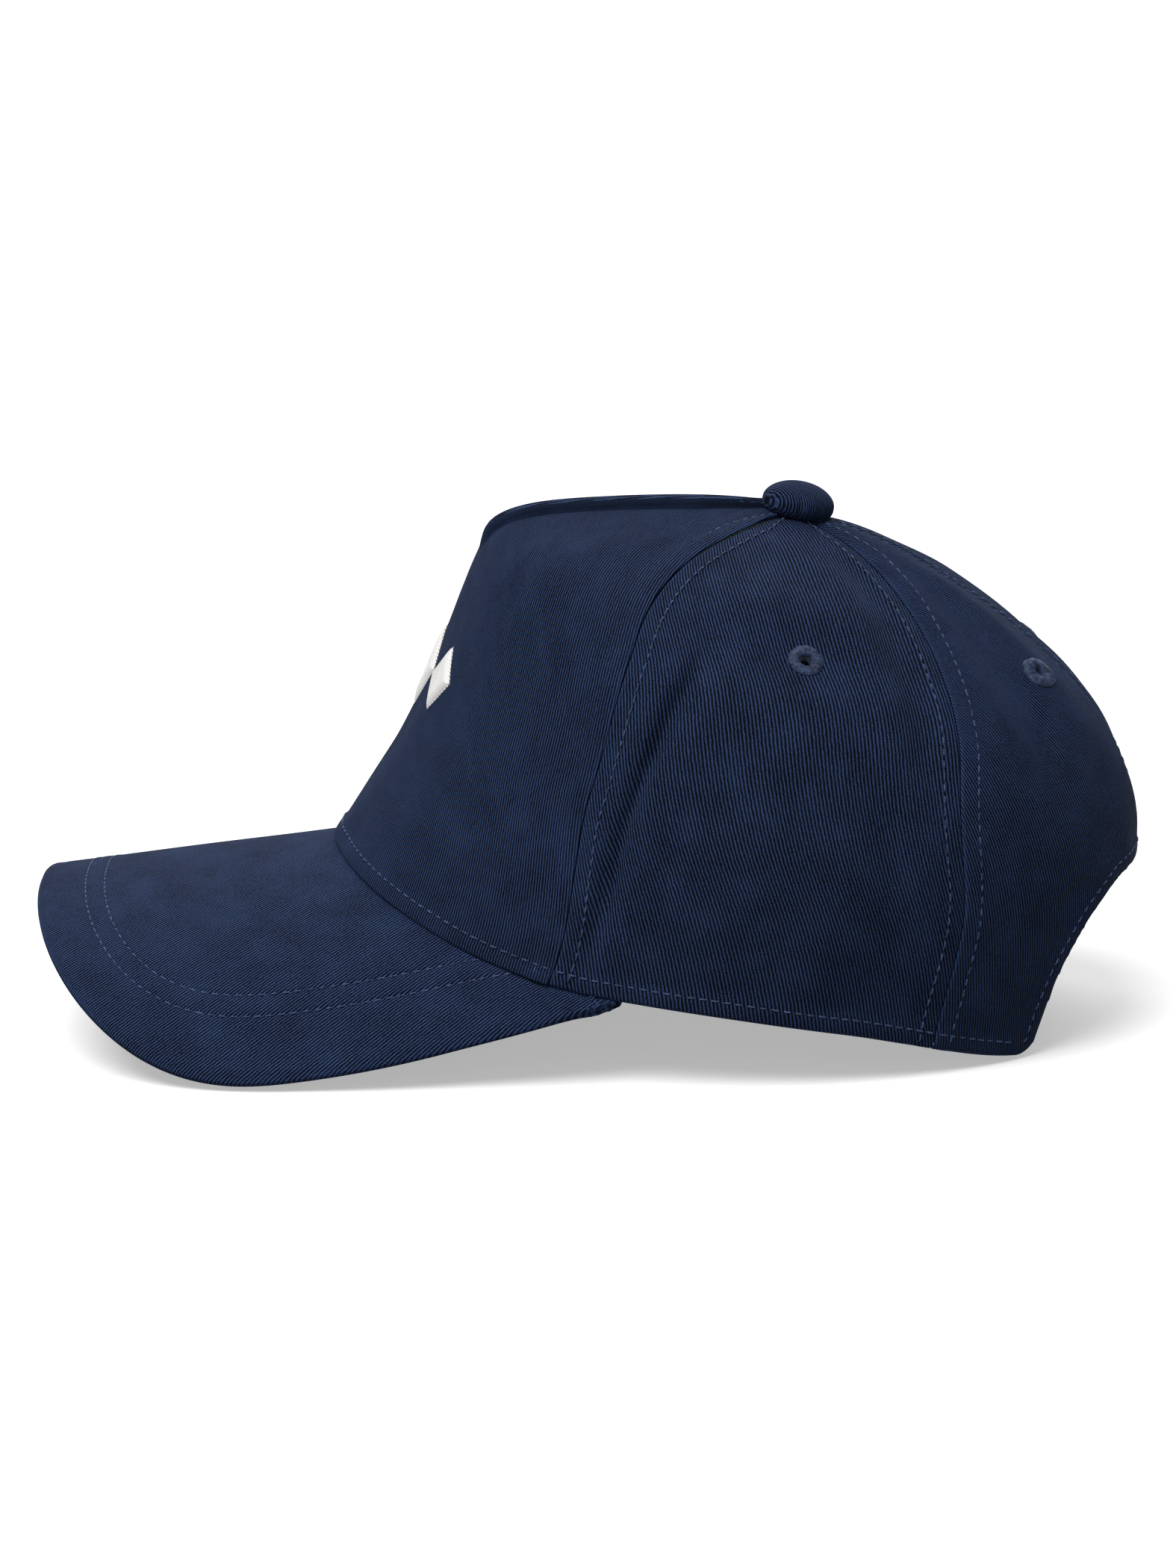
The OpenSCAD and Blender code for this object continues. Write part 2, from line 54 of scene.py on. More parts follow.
# ---- crown surface
FRONT_LEN, REAR_LEN, HALF_W, CROWN_H = 102.0, 97.0, 81.0, 116.5
LEAN, BASE_X, BASE_Z = math.radians(9.6), 33.63, 16.04
SWELL, FRONT_RISE, SIDE_RISE, REAR_DROP = 2.6, 14.3, 2.0, 2.5
SEAM_F, SEAM_R = 66.0, 125.0
ARCH_W, ARCH_H, T_TOP = 44.7, 45.5, 0.975
CORNER = 180 - math.degrees(math.asin(ARCH_W / HALF_W))
FRONT = [[FRONT_LEN + 9, -6], [FRONT_LEN - 2.5, 22], [FRONT_LEN - 12.6, 45],
         [FRONT_LEN - 18.7, 68], [FRONT_LEN - 22.3, 90], [FRONT_LEN - 26.7, 103.5],
         [FRONT_LEN - 50, 109.5], [30, 114], [12, 116.5], [0, CROWN_H]]
REAR = [[REAR_LEN - 1, -6], [REAR_LEN + 2.6, 20], [REAR_LEN + 5, 40], [REAR_LEN + 3.6, 57],
        [REAR_LEN - 3.9, 72], [REAR_LEN - 16.8, 86], [58.8, 98.4], [37.4, 108.4], [16, 115.5],
        [0, CROWN_H]]
SIDE = [[HALF_W - 0.5, -6], [HALF_W + 0.5, 18], [HALF_W - 0.5, 36], [HALF_W - 3.5, 53],
        [HALF_W - 10, 70], [HALF_W - 20, 84], [HALF_W - 35, 97], [29, 108], [13, 115],
        [0, CROWN_H]]


def spline(points, t):
    """Clamped uniform cubic B-spline, as in the CAD."""
    p = np.asarray(points, float)
    n = len(p) + 1
    s = np.clip(t, 0, 1) * n
    i = np.minimum(np.floor(s).astype(int), n - 1)
    u = (s - i)[..., None]
    at = lambda k: p[np.clip(i + k, 0, len(p) - 1)]
    return (at(-2) * (1 - u) ** 3 + at(-1) * (3 * u**3 - 6 * u * u + 4)
            + at(0) * (-3 * u**3 + 3 * u * u + 3 * u + 1) + at(1) * u**3) / 6


def unit(v):
    return v / np.maximum(np.linalg.norm(v, axis=-1, keepdims=True), 1e-9)


def step(lo, hi, x):
    s = np.clip((np.asarray(x, float) - lo) / (hi - lo), 0, 1)
    return s * s * (3 - 2 * s)


def bell(x, width):
    return np.exp(-((np.asarray(x, float) / width) ** 2))


def true_angle(a, t):
    """Where a column truly runs: the two seams bow, and the rest follows them."""
    b = np.abs(a)
    f = SEAM_F - 4.8 * step(0.13, 0.33, t) - 9 * step(0.5, 0.72, t)
    r = (SEAM_R - 1.5 + 9.5 * step(0.5, 0.8, t)
         - 2.5 * np.sin(np.pi * np.clip((t - 0.22) / 0.34, 0, 1)) ** 2)
    q = np.where(b <= SEAM_F, b * f / SEAM_F, np.where(
        b <= SEAM_R, f + (b - SEAM_F) * (r - f) / (SEAM_R - SEAM_F),
        r + (b - SEAM_R) * (180 - r) / (180 - SEAM_R)))
    return np.sign(a) * q


def crown0(a, t):
    a, t = np.broadcast_arrays(np.asarray(a, float), np.asarray(t, float))
    a = true_angle(a, t)
    c, s = np.cos(np.radians(a)), np.sin(np.radians(a))
    side = spline(SIDE, t)
    mid = np.where((c >= 0)[..., None], spline(FRONT, t), spline(REAR, t))
    return np.stack([-mid[..., 0] * c, -side[..., 0] * s,
                     mid[..., 1] * c * c + side[..., 1] * s * s], -1)


def normal_of(f, a, t, e, d):
    t = np.clip(t, d, 1 - d)
    return unit(np.cross(f(a + e, t) - f(a - e, t), f(a, t + d) - f(a, t - d)))


def crown1(a, t):
    """Crown with each rear and side panel swelling between its seams."""
    b = np.abs(np.where(np.abs(a) > 180, 360 - np.abs(a), a))
    f = np.where(b <= SEAM_F, 0, np.where(b <= SEAM_R, (b - SEAM_F) / (SEAM_R - SEAM_F),
                                          (b - SEAM_R) / (180 - SEAM_R)))
    k = np.where(b > SEAM_R, 1.35, 0.8)
    out = SWELL * k * 4 * f * (1 - f) * np.maximum(0, np.sin(np.pi * np.clip(t, 0, 1))) ** 0.8
    return crown0(a, t) + normal_of(crown0, a, t, 0.4, 0.002) * out[..., None]


def relief(a, t):
    """Folds and hollows of the cloth, in mm along the normal."""
    p = crown0(a, t)
    z, r = p[..., 2], np.hypot(p[..., 0], p[..., 1])
    b = np.abs(a)
    left = (np.asarray(a) > 0) * 1.0
    top = step(90, 104, z)
    out = 1.1 * np.maximum(0, 1 - np.radians(b) * r / 26) * top * (b < SEAM_F)
    # soft crease in the side panel beside the front seam
    reach = 1 + 0.3 * step(90, 104, z)
    d = np.radians(b - SEAM_F) * r * reach
    line = d - 5.4 - 8.6 * np.clip(z / 85, 0, 1)
    win = step(6, 26, z) * (1 - step(70, 96, z)) * (b > SEAM_F) * (0.35 + 0.65 * left)
    out = out + win * (1.0 * bell(line + 4.6, 3.2) + 0.5 * bell(line - 6.5, 4.0)
                       - 2.7 * bell(line, 1.9))
    # soft fold ahead of the rear seam, near the top
    d = np.radians(SEAM_R - b) * r * reach
    win = step(58, 76, z) * (1 - step(106, 114, z)) * (b < SEAM_R) * (b > SEAM_F)
    out = out + win * (0.9 * bell(d - 15, 4.5) - 1.0 * bell(d - 8, 3.2))
    # hollow under the side eyelet and slow waves across the panel
    out = out - 1.7 * bell(b - 101, 13) * bell(z - 60, 20) * (0.5 + 0.5 * left)
    out = out + 0.7 * bell(b - 84, 7) * bell(z - 52, 30)
    out = out - 0.9 * bell(b - 113, 5) * bell(z - 45, 34) * left
    out = out + 1.5 * bell(b - 95, 16) * bell(z - 99, 5)
    out = out - 1.5 * bell(b - 98, 15) * bell(z - 88, 5)
    # folds that run down the rear panels from the button
    win = step(62, 80, z) * (1 - step(104, 112, z)) * (b > SEAM_R)
    out = out + win * (1.0 * bell(b - 153, 7) - 1.2 * bell(b - 141, 5)
                       + 0.5 * bell(b - 132, 4))
    # small irregular give of worn cloth
    u = np.radians(a) * 84
    wave = (0.34 * np.sin(0.13 * u + 0.05 * z + 1.1) * np.sin(0.061 * z + 0.4)
            + 0.22 * np.sin(0.21 * u - 0.09 * z + 2.0 * left) * np.sin(0.05 * u + 0.9)
            + 0.15 * np.sin(0.33 * u + 0.21 * z + 0.7) * np.sin(0.11 * z - 0.07 * u))
    out = out + wave * (1 - step(104, 114, z)) * step(0, 12, z) * np.where(b < SEAM_F, 0.55, 1.0)
    return out


def crown(a, t, o=0.0):
    a, t = np.broadcast_arrays(np.asarray(a, float), np.asarray(t, float))
    n = normal_of(crown1, a, t, 0.5, 0.004)
    return crown1(a, t) + n * (np.asarray(o) + relief(a, t))[..., None]


def normal(a, t):
    return normal_of(crown, np.asarray(a, float), np.asarray(t, float), 0.6, 0.006)


def t_at(a, h):
    """Parameter at which the crown is h above the hem plane, by bisection."""
    a, h = np.broadcast_arrays(np.asarray(a, float), np.asarray(h, float))
    lo, hi = np.zeros(a.shape), np.full(a.shape, 0.8)
    for _ in range(18):
        m = (lo + hi) / 2
        low = crown0(a, m)[..., 2] < h
        lo, hi = np.where(low, m, lo), np.where(low, hi, m)
    return (lo + hi) / 2


def hem(a):
    """Height of the hem over its plane: up at the front, down at the rear corners."""
    b = np.abs(a)
    c = lambda lo, span, most: np.clip((b - lo) * 90 / span, 0, most)
    return (FRONT_RISE * np.maximum(0, np.cos(np.radians(np.minimum(90, 1.25 * b)))) ** 1.5
            + SIDE_RISE * np.sin(np.radians(c(50, 47.5, 180))) ** 2
            - REAR_DROP * np.sin(np.radians(c(108, 36, 90))) ** 2)


def seat(p):
    """Hem-plane frame to the part's frame."""
    x, y, z = p[..., 0], p[..., 1], p[..., 2]
    return np.stack([BASE_X + x * math.cos(LEAN) + z * math.sin(LEAN), y,
                     BASE_Z - x * math.sin(LEAN) + z * math.cos(LEAN)], -1)


def seat_dir(v):
    return seat(v) - seat(np.zeros(3))


# ---- mesh helpers
def make(name, verts, faces, mats, body="cap", cut=None, index=None, thick=0.0,
         offset=-1.0, smooth=True):
    """A mesh piece from mm coordinates, riding on a body."""
    mesh = bpy.data.meshes.new(name)
    mesh.from_pydata((np.asarray(verts, float).reshape(-1, 3) * 0.001).tolist(), [],
                     np.asarray(faces).tolist() if isinstance(faces, np.ndarray) else faces)
    mesh.update()
    for m in mats:
        mesh.materials.append(m)
    if index is not None:
        mesh.polygons.foreach_set("material_index", np.asarray(index, np.int32))
    mesh.polygons.foreach_set("use_smooth", np.full(len(mesh.polygons), smooth))
    if cut is not None:
        layer = mesh.attributes.new("cut", "FLOAT_VECTOR", "POINT")
        layer.data.foreach_set("vector", np.asarray(cut, np.float32).ravel())
    obj = bpy.data.objects.new(name, mesh)
    bpy.context.scene.collection.objects.link(obj)
    if thick:
        mod = obj.modifiers.new("thickness", "SOLIDIFY")
        mod.thickness, mod.offset, mod.use_even_offset = thick * 0.001, offset, False
    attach(obj, body)
    return obj


def grid_faces(rows, cols, wrap=False):
    i, j = np.meshgrid(np.arange(rows - 1), np.arange(cols if wrap else cols - 1),
                       indexing="ij")
    k = (j + 1) % cols
    return np.stack([i * cols + j, i * cols + k, (i + 1) * cols + k,
                     (i + 1) * cols + j], -1).reshape(-1, 4)


def area_of(verts, faces):
    v, f = np.asarray(verts).reshape(-1, 3), np.asarray(faces)
    d1, d2 = v[f[:, 2]] - v[f[:, 0]], v[f[:, 3]] - v[f[:, 1]]
    return float(np.linalg.norm(np.cross(d1, d2), axis=1).sum() / 2 * 1e-6)


def arc(points):
    return np.concatenate([[0], np.cumsum(np.linalg.norm(np.diff(points, axis=0), axis=1))])


def resample(points, n):
    s = arc(points)
    q = np.linspace(0, s[-1], n)
    return np.stack([np.interp(q, s, points[:, k]) for k in range(points.shape[1])], -1)


def line_distance(points, line):
    """Distance of plan points from a polyline, and the index of its nearest point."""
    near = np.concatenate([np.linalg.norm(points[i:i + 1500, None] - line[None], axis=2)
                           .argmin(1) for i in range(0, len(points), 1500)])
    best = np.full(len(points), 1e9)
    for k in (-1, 0):
        a = line[np.clip(near + k, 0, len(line) - 2)]
        b = line[np.clip(near + k, 0, len(line) - 2) + 1]
        f = np.clip(((points - a) * (b - a)).sum(1) / ((b - a) ** 2).sum(1), 0, 1)
        best = np.minimum(best, np.linalg.norm(points - a - (b - a) * f[:, None], axis=1))
    return best, near


class Stitches:
    """Collects short sunk thread lengths and makes one mesh of them."""

    def __init__(self):
        self.v, self.f, self.n = [], [], 0
        rings, sides = 7, 6
        u = np.linspace(-1, 1, rings)
        r = np.sqrt(np.maximum(0.03, 1 - u**4))
        ang = np.arange(sides) / sides * 2 * math.pi
        self.u = np.repeat(u, sides)
        self.y = np.outer(r, np.cos(ang)).ravel()
        self.z = np.outer(r, np.sin(ang)).ravel()
        self.faces = grid_faces(rings, sides, True)

    def row(self, path, up, pitch=3.0, length=2.3, radius=0.23, sink=0.28, seed=1):
        """path and up are arrays in the part's frame, up the outward normals."""
        rng = np.random.default_rng(seed)
        s = arc(path)
        count = int(s[-1] // pitch)
        if count < 1:
            return
        c = (np.arange(count) + 0.5) * s[-1] / count
        at = lambda q, a: np.stack([np.interp(q, s, a[:, k]) for k in range(3)], -1)
        mid, n = at(c, path), unit(at(c, up))
        tan = unit(at(c + 0.4 * pitch, path) - at(c - 0.4 * pitch, path))
        side = unit(np.cross(n, tan))
        size = 1 + rng.uniform(-0.08, 0.08, count)
        yaw = rng.uniform(-0.06, 0.06, count)
        tan = unit(tan + side * yaw[:, None])
        half = length / 2 * size
        bow = radius * 0.75 - sink * self.u**4 * 1.6
        pts = (mid[:, None] + tan[:, None] * (self.u[None, :, None] * half[:, None, None])
               + side[:, None] * (self.y * radius)[None, :, None]
               + n[:, None] * (self.z * radius * 0.85 + bow)[None, :, None])
        self.v.append(pts.reshape(-1, 3))
        k = len(self.u)
        self.f.append((self.faces[None] + (self.n + np.arange(count) * k)[:, None, None])
                      .reshape(-1, 4))
        self.n += count * k

    def build(self, name, mat):
        return make(name, np.concatenate(self.v), np.concatenate(self.f), [mat])


# ---- materials
def srgb(r, g, b):
    f = lambda c: c / 12.92 if c <= 0.04045 else ((c + 0.055) / 1.055) ** 2.4
    return (f(r / 255), f(g / 255), f(b / 255), 1.0)


class Nodes:
    """A Principled material, with short names for the nodes that feed it."""

    def __init__(self, name):
        self.mat = bpy.data.materials.new(name)
        self.mat.use_nodes = True
        self.tree = self.mat.node_tree
        self.bsdf = self.tree.nodes["Principled BSDF"]

    def add(self, kind, inputs=(), out=0, **props):
        n = self.tree.nodes.new("ShaderNode" + kind)
        for k, v in props.items():
            setattr(n, k, v)
        for k, v in dict(inputs).items():
            self.put(n.inputs[k], v)
        return n.outputs[out]

    def put(self, socket, v):
        if isinstance(v, bpy.types.NodeSocket):
            self.tree.links.new(v, socket)
        else:
            socket.default_value = v

    def math(self, op, *args):
        return self.add("Math", {i: a for i, a in enumerate(args)}, operation=op)

    def mix(self, fac, a, b, blend="MIX"):
        n = self.tree.nodes.new("ShaderNodeMix")
        n.data_type, n.blend_type = "RGBA", blend
        self.put(n.inputs["Factor"], fac)
        self.put(n.inputs["A"], a)
        self.put(n.inputs["B"], b)
        return n.outputs["Result"]

    def span(self, v, lo, hi, a, b):
        return self.add("MapRange", {"Value": v, "From Min": lo, "From Max": hi,
                                     "To Min": a, "To Max": b})

    def cut(self):
        """Place on the flat piece in mm: as a vector, and as across, up and from the edge."""
        whole = self.add("Attribute", out=1, attribute_name="cut")
        sep = self.tree.nodes.new("ShaderNodeSeparateXYZ")
        self.put(sep.inputs[0], whole)
        return whole, sep.outputs

    def set(self, **values):
        for k, v in values.items():
            self.put(self.bsdf.inputs[k.replace("_", " ")], v)
        return self.mat


YARN = 0.42  # from yarn to yarn along a twill line


def twill(name, dark, light, pitch=0.9, lean=18.0, bump=0.7, edge=0.25, sheen=0.03, low=0.3):
    """Cotton twill: raised diagonal lines painted lighter than the grooves between them (painted
    highlight and painted shade), yarns along them, melange and worn edges.
    """
    m = Nodes(name)
    cut, (u, v, rim) = m.cut()
    slow = m.add("TexNoise", {"Vector": cut, "Scale": 0.09, "Detail": 3.0})
    mid = m.add("TexNoise", {"Vector": cut, "Scale": 0.55, "Detail": 2.0})
    fine = m.add("TexNoise", {"Vector": cut, "Scale": 2.6, "Detail": 2.0})
    c, s = math.cos(math.radians(lean)), math.sin(math.radians(lean))
    across = m.math("ADD", m.math("MULTIPLY", u, c / pitch), m.math("MULTIPLY", v, s / pitch))
    across = m.math("ADD", across, m.math("MULTIPLY", m.math("SUBTRACT", mid, 0.5), 0.5))
    along = m.math("ADD", m.math("MULTIPLY", u, -s / YARN), m.math("MULTIPLY", v, c / YARN))
    line = m.math("ADD", m.math("MULTIPLY", m.math("SINE", m.math("MULTIPLY", across, math.tau)),
                                0.5), 0.5)
    yarn = m.math("SINE", m.math("ADD", m.math("MULTIPLY", along, math.tau),
                                 m.math("MULTIPLY", across, math.pi)))
    height = m.math("ADD", line, m.math("MULTIPLY", yarn, 0.18))
    height = m.math("ADD", height, m.math("MULTIPLY", fine, 0.4))
    # the raised lines are painted lighter and the grooves darker: painted highlight on the lines
    # and painted shade in the grooves, broken up by the yarn's real melange
    ridge = m.math("POWER", line, 1.6)
    ridge_highlight_melange = m.math("MULTIPLY", ridge, m.math("ADD", 0.1, m.math("MULTIPLY", fine, 1.35)))
    tone = m.math("ADD", ridge_highlight_melange, m.math("MULTIPLY", fine, 0.42))
    tone = m.math("ADD", tone, m.math("MULTIPLY", m.math("SUBTRACT", slow, 0.5), 0.5))
    tone = m.math("ADD", tone, m.math("MULTIPLY", yarn, 0.06))
    tone = m.math("ADD", tone, m.span(rim, 0.0, 1.1, edge, 0.0))
    colour = m.mix(m.span(tone, low, 0.9, 0.0, 1.0), dark, light)
    normal_out = m.add("Bump", {"Strength": bump, "Distance": 0.00022, "Height": height})
    rough = m.span(line, 0.0, 1.0, 0.95, 0.78)
    return m.set(Base_Color=colour, Roughness=rough, Normal=normal_out, Sheen_Weight=sheen,
                 Sheen_Roughness=0.45, Sheen_Tint=(0.35, 0.5, 1.0, 1.0),
                 Specular_IOR_Level=0.06)


def thread(name, colour, lighter):
    """Twisted polyester thread."""
    m = Nodes(name)
    pos = m.add("TexCoord", out=3)
    n1 = m.add("TexNoise", {"Vector": pos, "Scale": 900.0, "Detail": 2.0})
    wave = m.add("TexWave", {"Vector": pos, "Scale": 700.0, "Distortion": 2.0,
                             "Detail": 1.0}, out=1, bands_direction="DIAGONAL")
    col = m.mix(m.span(n1, 0.35, 0.7, 0.0, 1.0), colour, lighter)
    b = m.add("Bump", {"Strength": 0.35, "Distance": 0.00008, "Height": wave})
    return m.set(Base_Color=col, Roughness=0.55, Normal=b, Sheen_Weight=0.05,
                 Specular_IOR_Level=0.2)


def brushed(name, colour):
    m = Nodes(name)
    pos = m.add("TexCoord", out=3)
    long = m.add("Mapping", {"Vector": pos, "Scale": (300.0, 300.0, 5000.0)})
    n1 = m.add("TexNoise", {"Vector": long, "Scale": 1.0, "Detail": 4.0})
    n2 = m.add("TexNoise", {"Vector": pos, "Scale": 250.0, "Detail": 3.0})
    b = m.add("Bump", {"Strength": 0.12, "Distance": 0.00003, "Height": n1})
    return m.set(Base_Color=m.mix(n2, colour, tuple(0.8 * c for c in colour[:3]) + (1.0,)),
                 Metallic=1.0, Roughness=m.span(n1, 0.3, 0.7, 0.26, 0.42), Normal=b)


DEEP, PALE = srgb(5, 8, 17), srgb(43, 60, 94)
NAVY_FRONT = twill("navy_twill_front", DEEP, PALE, pitch=0.78, lean=4.0)
NAVY_SIDE = twill("navy_twill_side", DEEP, PALE, pitch=0.93)
NAVY_REAR = twill("navy_twill_rear", DEEP, PALE, pitch=0.78)
NAVY_VISOR = twill("navy_twill_visor", DEEP, srgb(48, 66, 103), pitch=0.78, lean=144.0, low=0.36)
NAVY_BTN = twill("navy_twill_button", DEEP, PALE, pitch=0.62, lean=35.0)
INNER = twill("lining_tape", srgb(13, 18, 32), srgb(30, 40, 64), pitch=0.55, lean=0.0,
              bump=0.3, edge=0.0)
THREAD = thread("thread_blue", srgb(30, 42, 68), srgb(64, 82, 118))
THREAD_NAVY = thread("thread_eyelet", srgb(19, 27, 46), srgb(50, 66, 98))
STEEL = brushed("steel_satin", (0.62, 0.62, 0.63, 1.0))


# ---- crown panels
# distances of the mesh columns from a seam and of its rows from the hem
EDGE = np.array([0, 0.25, 0.5, 0.9, 1.6, 2.6, 3.5, 4.1, 4.6, 5.1, 5.8, 7.2, 9.2])
ROWS = np.array([0, 0.25, 0.6, 1.1, 1.8, 2.6, 3.3, 3.8, 4.2, 4.7, 5.4, 6.5, 8.0])
STITCH_D, HEM_D, DART_D = 4.6, 4.2, 2.5  # thread from the seam, the hem and the dart
ROW_STEP, PANEL_T = 1.4, 0.8
RING = math.radians(1) * HALF_W  # mm per degree round the rear
EYELET_SIDE, EYELET_REAR = (98.3, 0.579), (150.7, 0.567)


def radius_at(a, t):
    e = 0.5
    return np.linalg.norm(crown0(a + e, t) - crown0(a - e, t), axis=-1) / math.radians(2 * e)


def arc_rate(a, t):
    """Length along the meridian per unit of parameter."""
    e = 0.004
    a = np.asarray(a, float)
    return np.linalg.norm(crown0(a, t + e) - crown0(a, t - e), axis=-1) / (2 * e)


def tau_table(a, t0):
    """Parameter against arc length up the meridian at angle a, both from the hem."""
    t = np.linspace(t0, T_TOP, 400)
    s = arc(crown0(np.full(400, a), t))
    return s, (t - t0) / (T_TOP - t0)


def seam_profile(d):
    """Height of the cloth at distance d from a topstitched seam."""
    return (0.38 * (1 - step(4.4, 5.9, d)) - 0.28 * bell(d, 0.3) - 0.2 * bell(d - STITCH_D, 0.45))


def dart_profile(d):
    """Rolled allowance over the dart that runs from the shoulder to the button."""
    return (2.1 * (1 - step(3.5, 4.6, d)) - 0.5 * bell(d, 0.3) - 0.75 * bell(d - 2.5, 0.42)
            - 0.8 * bell(d - 4.7, 0.6))


def hem_profile(h):
    return (0.4 * (1 - step(4.2, 5.6, h)) - 0.75 * bell(h, 0.4) - 0.22 * bell(h - HEM_D, 0.5))


def column_angles(edges, t_mid, n_mid):
    """Angles of all columns for each row, with the distances to the seams."""
    cols, dist = [], []
    for k, (a0, a1) in enumerate(zip(edges[:-1], edges[1:])):
        r0, r1 = radius_at(a0 + 1.0, t_mid), radius_at(a1 - 1.0, t_mid)
        w = math.radians(a1 - a0) * (r0 + r1) / 2
        s = np.minimum(1, w / (2 * EDGE[-1] * 1.2))
        left = a0 + np.degrees(EDGE[None] * (s / r0)[:, None])
        right = a1 - np.degrees(EDGE[::-1][None] * (s / r1)[:, None])
        f = (np.arange(1, n_mid + 1) / (n_mid + 1))[None]
        mid = left[:, -1:] + (right[:, :1] - left[:, -1:]) * f
        a = np.concatenate([left, mid, right], 1)
        if k:
            a = a[:, 1:]
        near = np.minimum(np.radians(a - a0) * r0[:, None], np.radians(a1 - a) * r1[:, None])
        cols.append(a)
        dist.append(near / s[:, None])
    return np.concatenate(cols, 1), np.concatenate(dist, 1)


def arch_edge(f):
    """Half width and height of the rear opening, f from 0 at the hem to 1 at the middle."""
    c, s = np.maximum(0, np.cos(f * math.pi / 2)), np.sin(f * math.pi / 2)
    return (ARCH_W - 2 * s) * c**0.42, -REAR_DROP + (ARCH_H + REAR_DROP) * s**0.62


def inside_arch(y, z):
    f = np.linspace(0, 1, 2000)
    ey, ez = arch_edge(f)
    return (np.abs(y) < np.interp(z, ez, ey)) & (z < ARCH_H)


def arch_line(n=500, fillet=4.5):
    """Boundary of one side of the rear opening, angle and height, hem corner to middle."""
    f = np.linspace(0, 1, 4000)
    y, z = arch_edge(f)
    line = resample(np.stack([y, z], -1), n)
    line = line[line[:, 1] > -REAR_DROP + fillet]
    q = np.radians(np.linspace(-90, 0, 30))
    yc, zc = line[0, 0] + fillet, -REAR_DROP + fillet
    corner = np.stack([yc - fillet * np.cos(q), zc + fillet * np.sin(q)], -1)[:-1]
    line = np.concatenate([corner, line])
    return 180 - np.degrees(np.arcsin(np.minimum(1, line[:, 0] / HALF_W))), line[:, 1]


def flat_cut(a, t, a_mid, rows):
    """Where each point of a panel lay on the cloth: along its row, and up its middle."""
    p = crown0(a, t)
    s = np.concatenate([np.zeros((len(a), 1)),
                        np.linalg.norm(np.diff(p, axis=1), axis=2).cumsum(1)], 1)
    middle = np.array([np.interp(a_mid, a[i], s[i]) for i in range(len(a))])
    return s - middle[:, None], np.repeat(rows[:, None], a.shape[1], 1), s[:, -1:] / 2


